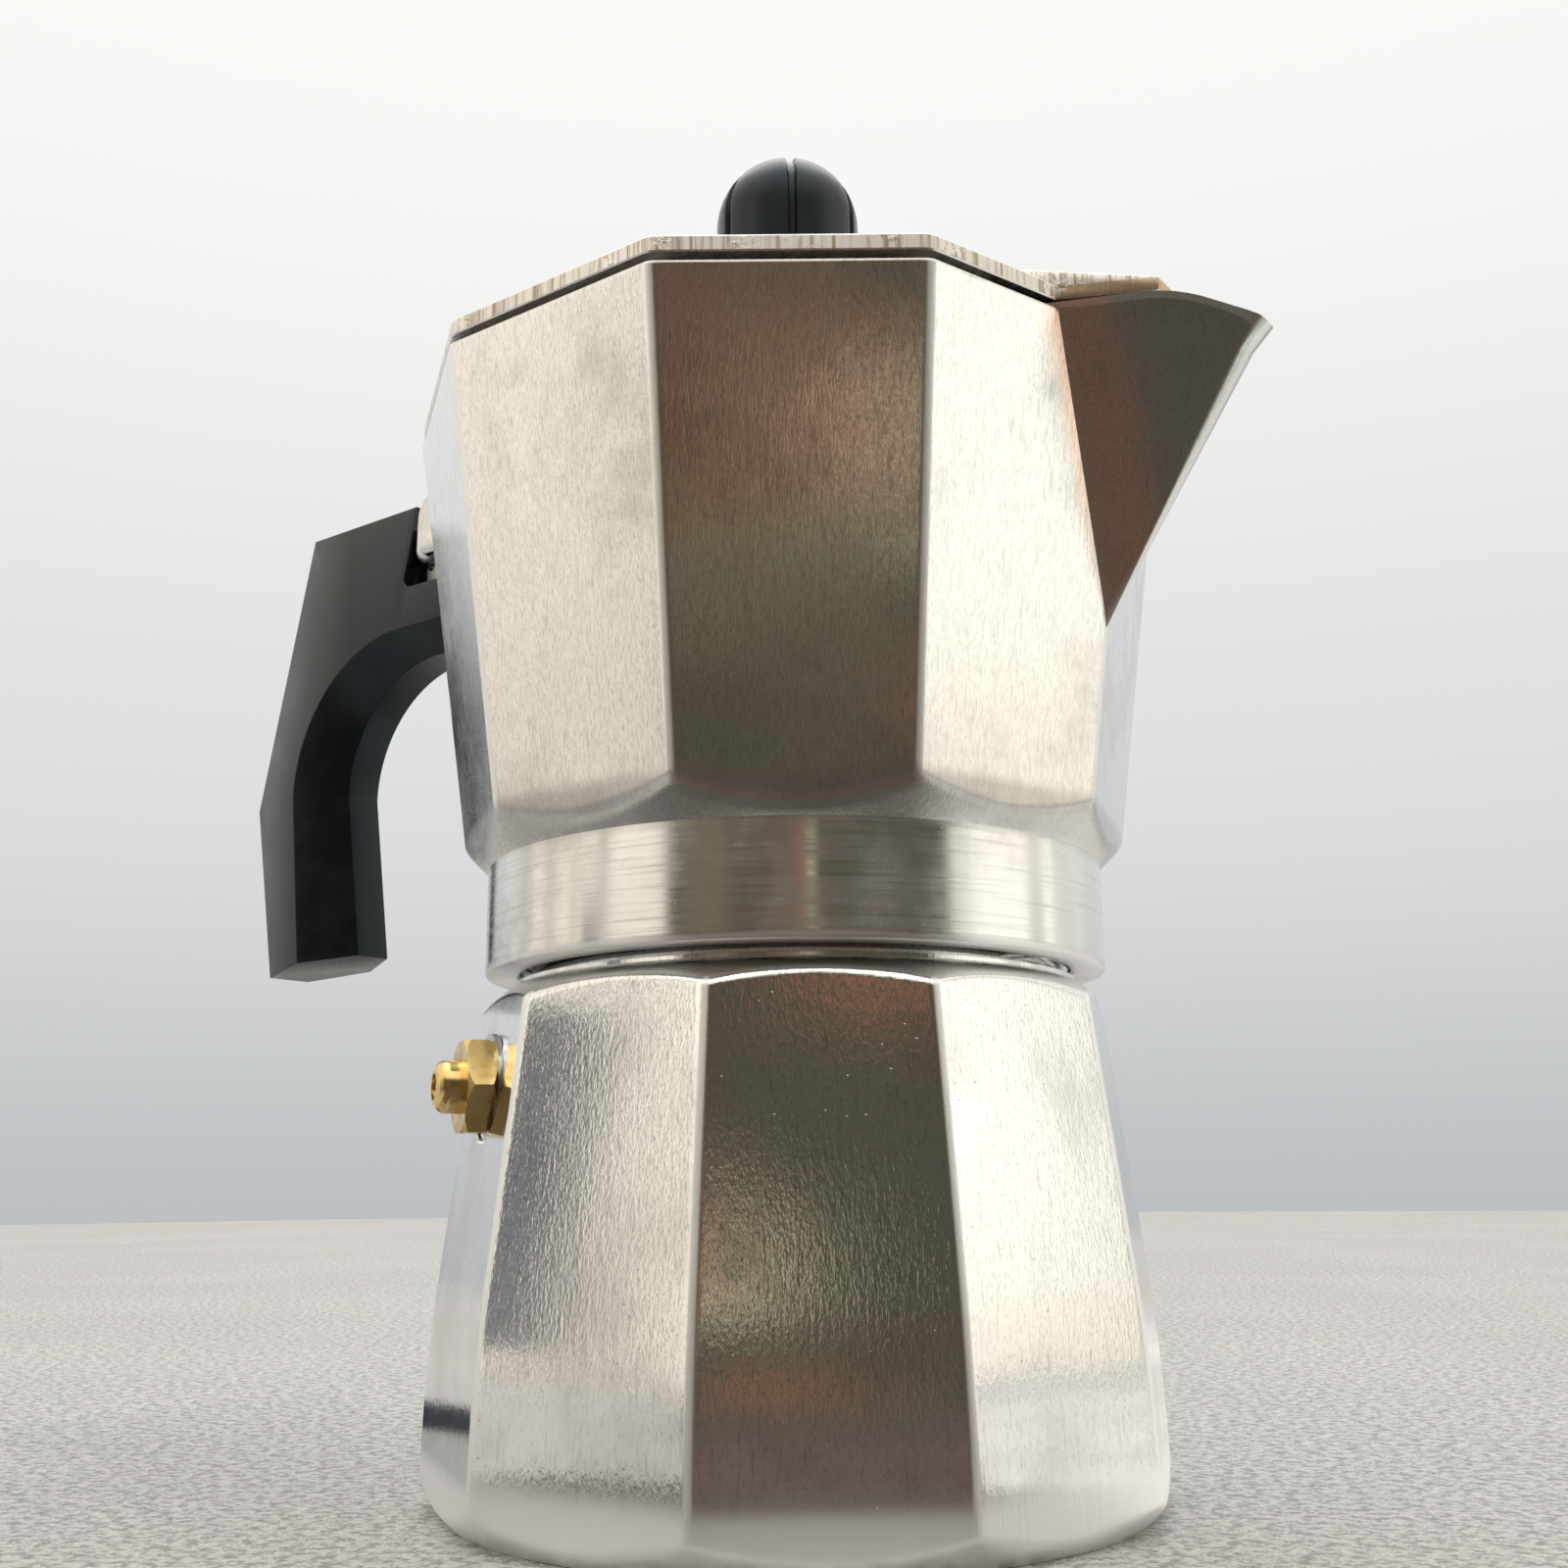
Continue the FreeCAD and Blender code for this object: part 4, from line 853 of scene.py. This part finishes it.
def collector_metal():
    """Brushed upright on its facets and turned round on its collar."""
    graph = Surface("collector_aluminium")
    height = graph.axis("Z")
    collar = graph.ramp(height, (COLLAR_TOP + 0.1) * MM, (COLLAR_TOP - 0.2) * MM)
    grain = graph.noise(2300, 4.0, 0.7, (1, 1, 0.03))
    fine = graph.noise(7500, 2.0, 0.6, (1, 1, 0.03))
    turning = graph.noise(2600, 4.0, 0.65, (0.02, 0.02, 1))
    pits = graph.pits(1100, 0.03, 0.14)
    stain = graph.noise(30, 6.0, 0.7)
    smudge = graph.noise(75, 5.0, 0.65, (1, 1, 0.7))
    marks = graph.blend(collar, grain, turning)
    streak = graph.ramp(marks, 0.50, 0.74)
    # Painted shade: the crease over the collar is darkened, broken up by a noise.
    from_crease = graph.math("ABSOLUTE", graph.math("SUBTRACT", height, CREASE * MM))
    crease_shade = graph.times(graph.ramp(from_crease, 3.4 * MM, 1.6 * MM),
                        graph.ramp(stain, 0.3, 0.6, 0.4, 1.0))
    colour = graph.mix(graph.ramp(stain, 0.5, 0.72), grey(0.87, 0.012), grey(0.60, 0.035))
    colour = graph.mix(graph.times(crease_shade, 0.55), colour, grey(0.44, 0.05))
    colour = graph.mix(graph.times(streak, graph.blend(collar, 0.32, 0.35)), colour,
                       grey(0.36, 0.03))
    upright = graph.times(graph.ramp(fine, 0.48, 0.62), graph.blend(collar, 0.38, 0.0))
    colour = graph.mix(upright, colour, grey(0.46, 0.02))
    # Painted reflection on the spout: the colour is tinted reddish near the collector and bluish
    # beyond.
    out = graph.axis("X")
    spout_reflection_share = graph.times(graph.ramp(out, 43 * MM, 45 * MM), 0.85)
    uneven = graph.math("ADD", out, graph.times(smudge, 4 * MM))
    spout_reflection_tint = graph.mix(graph.ramp(uneven, 50 * MM, 54.5 * MM), SPOUT_REFLECTION_NEAR, SPOUT_REFLECTION_FAR)
    tint = graph.mix(spout_reflection_share, WHITE, spout_reflection_tint)
    colour = graph.node("ShaderNodeVectorMath", {0: colour, 1: tint},
                        operation="MULTIPLY").outputs[0]
    speck = graph.times(graph.math("SUBTRACT", 1.0, pits), graph.ramp(graph.noise(48), 0.6, 0.68))
    colour = graph.mix(graph.times(speck, 0.75), colour, grey(0.2, 0.03))
    smeared = graph.ramp(smudge, 0.42, 0.66)
    rough = graph.blend(smeared, graph.blend(collar, 0.09, 0.19), graph.blend(collar, 0.18, 0.27))
    rough = graph.math("ADD", rough, graph.times(graph.math("SUBTRACT", marks, 0.5), 0.3))
    rough = graph.blend(graph.math("MAXIMUM", graph.edge(), graph.times(crease_shade, 0.5)), rough, 0.40)
    # Painted highlight with real wear: the upright corners are lightened and roughened above the
    # crease.
    worn_and_highlit = graph.times(graph.corner_wear_and_highlight(0.0), graph.ramp(height, 74 * MM, 77 * MM))
    rough = graph.blend(worn_and_highlit, rough, 0.46)
    colour = graph.mix(worn_and_highlit, colour, WEAR_AND_HIGHLIGHT)
    normal = graph.bump(marks, graph.blend(collar, 0.32, 0.14), 0.06 * MM)
    normal = graph.bump(fine, graph.blend(collar, 0.28, 0.0), 0.02 * MM, normal)
    normal = graph.bump(pits, 0.10, 0.04 * MM, normal)
    round_axis = graph.node("ShaderNodeTangent", direction_type="RADIAL", axis="Z").outputs[0]
    graph.put(graph.shader.inputs["Tangent"], round_axis)
    graph.put(graph.shader.inputs["Anisotropic"], graph.blend(collar, 0.5, 0.7))
    graph.put(graph.shader.inputs["Anisotropic Rotation"], graph.blend(collar, 0.0, 0.25))
    return graph.done(colour, rough, normal, Metallic=1.0)


def boiler_metal():
    """Cast and only lightly polished: a sandy, upright grain with pits and scratches."""
    graph = Surface("boiler_aluminium")
    height = graph.axis("Z")
    foot = graph.ramp(height, 8.4 * MM, 4.6 * MM)
    sand = graph.noise(3000, 2.5, 0.6, (1, 1, 0.45))
    worms = graph.noise(1500, 3.0, 0.6, (1, 1, 0.30))
    upright = graph.noise(2600, 3.0, 0.65, (1, 1, 0.05))
    patch = graph.noise(62, 4.0, 0.6)
    pits = graph.pits(480, 0.02, 0.06)
    lines = graph.math("MAXIMUM", graph.scratches(260, (0.5, 0.3), 0.07),
                       graph.scratches(210, (1.3, 0.5), 0.06))
    colour = graph.mix(graph.ramp(patch, 0.45, 0.7), grey(0.90, 0.004), grey(0.74, 0.012))
    colour = graph.mix(graph.times(graph.ramp(sand, 0.52, 0.68), 0.35), colour, grey(0.5))
    colour = graph.mix(graph.times(graph.ramp(upright, 0.55, 0.72), 0.4), colour, grey(0.42))
    colour = graph.mix(graph.times(graph.math("SUBTRACT", 1.0, pits), 0.6), colour, grey(0.3))
    colour = graph.mix(graph.times(lines, 0.6), colour, grey(0.98))
    rough = graph.blend(graph.ramp(patch, 0.4, 0.68), 0.08, 0.13)
    rough = graph.blend(foot, rough, 0.52)
    # Painted highlight with real wear: the upright corners are lightened and roughened below the
    # shoulder.
    worn_and_highlit = graph.times(graph.corner_wear_and_highlight(BOILER_TURN), graph.ramp(height, 56.2 * MM, 54.6 * MM))
    rough = graph.blend(worn_and_highlit, rough, 0.52)
    colour = graph.mix(graph.math("MAXIMUM", worn_and_highlit, foot), colour, WEAR_AND_HIGHLIGHT)
    rough = graph.math("ADD", rough, graph.times(lines, 0.3))
    normal = graph.bump(worms, graph.blend(graph.ramp(patch, 0.35, 0.65), 0.07, 0.20), 0.09 * MM)
    normal = graph.bump(sand, 0.26, 0.06 * MM, normal)
    normal = graph.bump(upright, graph.blend(foot, 0.15, 0.6), 0.06 * MM, normal)
    normal = graph.bump(pits, 0.4, 0.08 * MM, normal)
    normal = graph.bump(lines, 0.6, 0.05 * MM, normal)
    return graph.done(colour, rough, normal, Metallic=1.0)


def lid_metal():
    """Brushed on top, with filed upright edges that catch the light."""
    graph = Surface("lid_aluminium")
    facing = graph.node("ShaderNodeTexCoord").outputs["Normal"]
    up = graph.node("ShaderNodeSeparateXYZ", {0: facing}).outputs["Z"]
    edge = graph.ramp(graph.math("ABSOLUTE", up), 0.5, 0.2)
    file_marks = graph.noise(1150, 4.0, 0.8, (1, 1, 0.02))
    burr = graph.noise(1500, 3.0, 0.7)
    grain = graph.noise(2000, 4.0, 0.65, (0.04, 1, 1))
    filed = graph.blend(graph.ramp(graph.noise(260), 0.5, 0.7), file_marks, burr)
    marks = graph.blend(edge, grain, filed)
    colour = graph.mix(graph.ramp(graph.noise(60, 4.0), 0.4, 0.7), grey(0.88, 0.02),
                       grey(0.74, 0.05))
    dark = graph.times(edge, graph.ramp(marks, 0.47, 0.62, 0.0, 0.9))
    colour = graph.mix(dark, colour, grey(0.27, 0.30))
    tongue = graph.times(graph.ramp(graph.axis("X"), 44 * MM, 46 * MM), edge)
    below_rim = graph.ramp(graph.axis("Z"), (LID_EDGE - 0.2) * MM, (LID_EDGE - 0.5) * MM)
    browned = graph.times(tongue, below_rim)
    colour = graph.mix(graph.times(browned, 0.85), colour, (0.56, 0.39, 0.24, 1))
    # Painted reflection: a warm tint on the upright edges.
    colour = graph.mix(graph.times(edge, 0.12), colour, (0.80, 0.64, 0.50, 1))
    rough = graph.blend(edge, 0.26, 0.42)
    rough = graph.math("ADD", rough, graph.times(graph.math("SUBTRACT", marks, 0.5), 0.25))
    normal = graph.bump(marks, graph.blend(edge, 0.2, 0.9), 0.20 * MM)
    return graph.done(colour, rough, normal, Metallic=1.0)


def black_plastic():
    """Phenolic plastic with a dull sheen and a little dust."""
    graph = Surface("black_phenolic")
    broad = graph.noise(140, 4.0, 0.6)
    dust = graph.ramp(graph.noise(900, 2.0, 0.6), 0.66, 0.78)
    colour = graph.mix(graph.ramp(broad, 0.35, 0.7), grey(0.004, -0.25), grey(0.009, -0.2))
    colour = graph.mix(graph.times(dust, 0.2), colour, grey(0.05))
    rough = graph.blend(graph.ramp(broad, 0.3, 0.7), 0.22, 0.31)
    normal = graph.bump(graph.noise(2600, 3.0, 0.6), 0.12, 0.04 * MM)
    normal = graph.bump(graph.noise(300, 2.0), 0.08, 0.12 * MM, normal)
    return graph.done(colour, rough, normal, Specular_Tint=(0.72, 0.85, 1.0, 1),
                      Specular_IOR_Level=0.36)


def turned_metal(name, colour, dark, roughness, scale=2400):
    """A machined metal with fine tool marks and a little tarnish."""
    graph = Surface(name)
    marks = graph.noise(scale, 2.0, 0.6, (1, 1, 0.3))
    tarnish = graph.noise(420, 4.0, 0.6)
    tint = graph.mix(graph.ramp(tarnish, 0.42, 0.72), colour, dark)
    rough = graph.blend(graph.ramp(tarnish, 0.3, 0.7), roughness, roughness + 0.14)
    return graph.done(tint, rough, graph.bump(marks, 0.2, 0.03 * MM), Metallic=1.0)


def seal_rubber():
    graph = Surface("seal_rubber")
    broad = graph.noise(120, 4.0, 0.6)
    colour = graph.mix(graph.ramp(broad, 0.35, 0.7), (0.72, 0.69, 0.62, 1), (0.55, 0.5, 0.42, 1))
    normal = graph.bump(graph.noise(1400), 0.15, 0.06 * MM)
    return graph.done(colour, graph.blend(broad, 0.45, 0.6), normal)


def floor_cloth():
    """A pale, rough floor with a fine grain."""
    graph = Surface("pale_floor")
    weave = graph.noise(620, 4.0, 0.8)
    fibres = graph.noise(1900, 3.0, 0.7)
    broad = graph.noise(9, 3.0, 0.5)
    colour = graph.mix(graph.ramp(broad, 0.35, 0.65), grey(0.73, 0.006), grey(0.78, 0.006))
    colour = graph.mix(graph.times(graph.ramp(weave, 0.44, 0.60), 0.75), colour, grey(0.27, 0.01))
    colour = graph.mix(graph.times(graph.ramp(fibres, 0.5, 0.66), 0.4), colour, grey(0.30, 0.01))
    normal = graph.bump(weave, 0.9, 1.2 * MM)
    normal = graph.bump(fibres, 0.5, 0.4 * MM, normal)
    return graph.done(colour, graph.ramp(weave, 0.3, 0.7, 0.9, 1.0), normal)


# ------------------------------------------------------------ stage, light and camera

CAMERA_SPOT = Vector((118.47, -164.79, 35.43)) * MM
LOOK_AROUND = math.radians(126.03)
LOOK_UP = 0.232
ROLL = -0.009
LENS = 38.42
QUARTER = math.pi / 2


def view_axes():
    """The camera's right, up and forward directions."""
    level = Vector((math.cos(LOOK_AROUND), math.sin(LOOK_AROUND), 0))
    across = Vector((level.y, -level.x, 0))
    up = Vector((0, 0, 1))
    forward = level * math.cos(LOOK_UP) + up * math.sin(LOOK_UP)
    raised = up * math.cos(LOOK_UP) - level * math.sin(LOOK_UP)
    right = across * math.cos(ROLL) + raised * math.sin(ROLL)
    return right, raised * math.cos(ROLL) - across * math.sin(ROLL), forward


def make_camera():
    right, up, forward = view_axes()
    camera = bpy.data.objects.new("camera", bpy.data.cameras.new("camera"))
    camera.data.lens = LENS
    camera.data.sensor_width = 36
    camera.data.clip_start = 0.01
    turn = Matrix((right, up, -forward)).transposed().to_4x4()
    camera.matrix_world = Matrix.Translation(CAMERA_SPOT) @ turn
    SCENE.collection.objects.link(camera)
    SCENE.camera = camera


# The room, as directions round the pot: a dark side that the near facets mirror, bright walls to
# both sides of it, a pale backdrop behind the pot and a white ceiling.
DARK_LEFT = math.radians(-103)
DARK_RIGHT = math.radians(6)
OLIVE = (0.074, 0.078, 0.055, 1)
UMBER = (0.096, 0.068, 0.052, 1)
RUSSET = (0.33, 0.140, 0.090, 1)
STRAW = (0.34, 0.31, 0.18, 1)
BLOOM = (0.72, 0.67, 0.46, 1)
CEILING = (1.5, 1.48, 1.42, 1)
POST = (0.14, 0.13, 0.115, 1)
# Glows on the dark side: azimuth and lift, the angles within which a glow is full and beyond
# which it is gone, its tint and its share. Angles in degrees.
GLOWS = [
    (-44.5, 14, 6, 9, OLIVE, 1.0),
    (-51.8, 10.6, 1.2, 4.8, RUSSET, 0.95),
    (-58, 15, 0.5, 3, RUSSET, 0.5),
    (-56.5, 5, 1, 4, STRAW, 0.4),
    (-60.7, 8, 0.5, 2.5, RUSSET, 0.7),
    (-48.3, 11.6, 0.5, 1.9, BLOOM, 1.0),
    (-48.3, 9.2, 0.5, 1.9, BLOOM, 1.0),
    (-48.2, 6.6, 0.5, 1.9, BLOOM, 0.8),
    (-46.5, 1.2, 1.2, 3.2, RUSSET, 0.7),
    (-42.5, 21, 0.8, 3.2, RUSSET, 1.0),
    (-85, 12, 4, 12, STRAW, 0.3),
]
# Dark posts in the bright walls: azimuth and half width in degrees, and share.
POSTS = [(-126, 1.0, 0.8), (-140, 1.2, 0.45), (-152, 2.5, 0.35), (-168, 3.0, 0.4),
         (8, 2.5, 0.35), (42, 2.5, 0.5), (60, 5.0, 0.4), (84, 2.0, 0.3)]


def cosine(degrees):
    return math.cos(math.radians(degrees))


def heading(azimuth, lift):
    """The direction of an azimuth and a lift in degrees."""
    around = math.radians(azimuth)
    level = cosine(lift)
    return math.cos(around) * level, math.sin(around) * level, math.sin(math.radians(lift))


def room_colour(graph, way):
    """The dark side's mottled colour, with a few soft round glows in it."""
    patches = graph.node("ShaderNodeTexNoise", {"Vector": way, "Scale": 6.0, "Detail": 3.0})
    colour = graph.mix(graph.ramp(patches.outputs["Fac"], 0.42, 0.58), OLIVE, UMBER)
    for azimuth, lift, near, far, tint, share in GLOWS:
        dot = graph.node("ShaderNodeVectorMath", {0: way, 1: heading(azimuth, lift)},
                         operation="DOT_PRODUCT").outputs["Value"]
        spot = graph.ramp(dot, cosine(far), cosine(near))
        colour = graph.mix(graph.times(spot, share), colour, tint)
    return colour


def make_world():
    world = bpy.data.worlds.new("soft_room")
    SCENE.world = world
    world.use_nodes = True
    graph = Graph(world.node_tree)
    way = graph.node("ShaderNodeTexCoord").outputs["Generated"]
    axes = graph.node("ShaderNodeSeparateXYZ", {0: way}).outputs
    height = axes["Z"]
    level = graph.math("SQRT", graph.math("SUBTRACT", 1.0001, graph.times(height, height)))

    def toward(azimuth):
        """Cosine of the level angle between a direction and an azimuth."""
        forward = graph.times(axes["X"], math.cos(azimuth))
        across = graph.times(axes["Y"], math.sin(azimuth))
        return graph.math("DIVIDE", graph.math("ADD", forward, across), level)

    def rising(low, high, first, second):
        """A colour that goes from first to second between two heights."""
        return graph.mix(graph.ramp(height, low, high), first, second)

    backdrop = rising(-0.06, 0.26, (0.50, 0.515, 0.53, 1), (0.74, 0.75, 0.755, 1))
    backdrop = rising(0.2, 0.62, backdrop, (0.95, 0.955, 0.93, 1))
    walls = rising(-0.1, 0.5, (0.84, 0.77, 0.65, 1), (1.25, 1.18, 1.02, 1))
    right = rising(-0.05, 0.2, (1.02, 0.95, 0.80, 1), (1.30, 1.27, 1.13, 1))
    walls = graph.mix(graph.ramp(toward(LOOK_AROUND - QUARTER), 0.1, 0.8), walls, right)
    for azimuth, half, share in POSTS:
        inside = graph.ramp(toward(math.radians(azimuth)), cosine(half * 2.2), cosine(half))
        walls = graph.mix(graph.times(inside, share), walls, POST)
    colour = graph.mix(graph.ramp(toward(LOOK_AROUND), 0.75, 0.2), backdrop, walls)
    left_edge = graph.ramp(toward(DARK_LEFT + QUARTER), 0.0, 0.08)
    right_edge = graph.ramp(toward(DARK_RIGHT - QUARTER), 0.0, 0.10)
    dark = graph.times(graph.times(left_edge, right_edge), graph.ramp(height, 0.66, 0.40))
    colour = graph.mix(dark, colour, room_colour(graph, way))
    colour = rising(0.70, 0.92, colour, CEILING)
    graph.put(world.node_tree.nodes["Background"].inputs["Color"], colour)


FLOOR_REACH = 1600
FLOOR_SIDES = 96
# Just over the floor, so that mirrors see these instead of it.
OVER_FLOOR = 0.6
# The floor's parts as the pot mirrors them: azimuths in degrees, near and far reach, colour.
MIRRORED_FLOORS = {
    "dark_table": (-115, 3, 295, 1590, (0.125, 0.104, 0.088, 1)),
    "red_cloth": (-98, 3, 105, 295, (0.165, 0.115, 0.10, 1)),
    "near_shade": (-115, 3, 52, 105, (0.15, 0.135, 0.12, 1)),
    "shaded_table": (125, 245, 47, 95, (0.40, 0.395, 0.375, 1)),
    "handle_shade": (165, 195, 95, 135, (0.05, 0.052, 0.06, 1)),
    "lit_table": (4, 100, 44, 500, (0.95, 0.93, 0.87, 1)),
}
# A dark upright thing on the table: the spot on the pot that it is seen from, azimuths in
# degrees, how far off it stands, its lowest and highest point and its colour.
DARK_BOX = (Vector((-5, -39, 0)), (-124.0, -134.5), 80, (22, 77), (0.20, 0.205, 0.21, 1))


def mirrored_shape(name, points, faces, colour):
    """Something round the pot that only mirrors see."""
    graph = Surface(name)
    dimmer = tuple(0.8 * part for part in colour[:3]) + (1,)
    tone = graph.mix(graph.ramp(graph.noise(12), 0.4, 0.6), colour, dimmer)
    glow = graph.node("ShaderNodeEmission", {"Color": tone})
    graph.tree.links.new(glow.outputs[0], graph.tree.nodes["Material Output"].inputs["Surface"])
    piece = new_object(name, points, faces)
    piece.data.materials.append(graph.material)
    piece.visible_camera = False
    piece.visible_shadow = False
    piece.visible_diffuse = False


def mirrored_floor(name, start, end, near, far, colour):
    """A part of the floor as the pot mirrors it."""
    turns = steps(math.radians(start), math.radians(end), 0.1)
    points = ring(turns, near, OVER_FLOOR) + ring(turns, far, OVER_FLOOR)
    count = len(turns)
    faces = [(spot, spot + 1, count + spot + 1, count + spot) for spot in range(count - 1)]
    mirrored_shape(name, points, faces, colour)


def make_stage():
    angles = [math.tau * index / FLOOR_SIDES for index in range(FLOOR_SIDES)]
    floor = new_object("floor", ring(angles, FLOOR_REACH, 0), [tuple(range(FLOOR_SIDES))])
    floor.data.materials.append(floor_cloth())
    for name, sizes in MIRRORED_FLOORS.items():
        mirrored_floor(name, *sizes)
    spot, azimuths, reach, heights, colour = DARK_BOX
    ends = [spot + reach * Vector((cosine(a), math.sin(math.radians(a)), 0)) for a in azimuths]
    points = [end + Vector((0, 0, z)) for end in ends for z in heights]
    mirrored_shape("dark_box", points, [(0, 1, 3, 2)], colour)


def make_light():
    make_world()
    light = bpy.data.lights.new("ceiling", "AREA")
    light.shape = "RECTANGLE"
    light.size, light.size_y = 1.2, 1.2
    light.energy = 5
    lamp = bpy.data.objects.new("ceiling", light)
    lamp.location = (-0.3, 0.4, 1.6)
    lamp.rotation_euler = (-lamp.location).to_track_quat("-Z", "Y").to_euler()
    SCENE.collection.objects.link(lamp)
    SCENE.view_settings.view_transform = "Standard"


# ------------------------------------------------------------ assembly

def dress(names, material):
    """Give carried-over CAD nodes a material."""
    for name in names:
        NODES[name].data.materials.clear()
        NODES[name].data.materials.append(material)
        smooth(NODES[name], 30)


make_camera()
make_stage()
make_light()
black = black_plastic()
make_boiler(boiler_metal())
make_collector(collector_metal())
make_lid(lid_metal())
make_knob(black)
make_handle(black)
brass = turned_metal("valve_brass", (0.88, 0.65, 0.28, 1), (0.62, 0.40, 0.13, 1), 0.15)
steel = turned_metal("bright_steel", grey(0.62), grey(0.42), 0.22)
sheet = turned_metal("spun_aluminium", grey(0.82), grey(0.64), 0.3, 1400)
dress(["valve_body", "valve_plunger", "valve_retainer", "knob_insert"], brass)
dress(["valve_washer", "valve_spring", "hinge_pin", "knob_screw", "knob_washer", "handle_screw",
       "handle_washer"], steel)
dress(["funnel_basket", "funnel_stem", "funnel_screen", "filter_plate", "column"], sheet)
dress(["gasket"], seal_rubber())
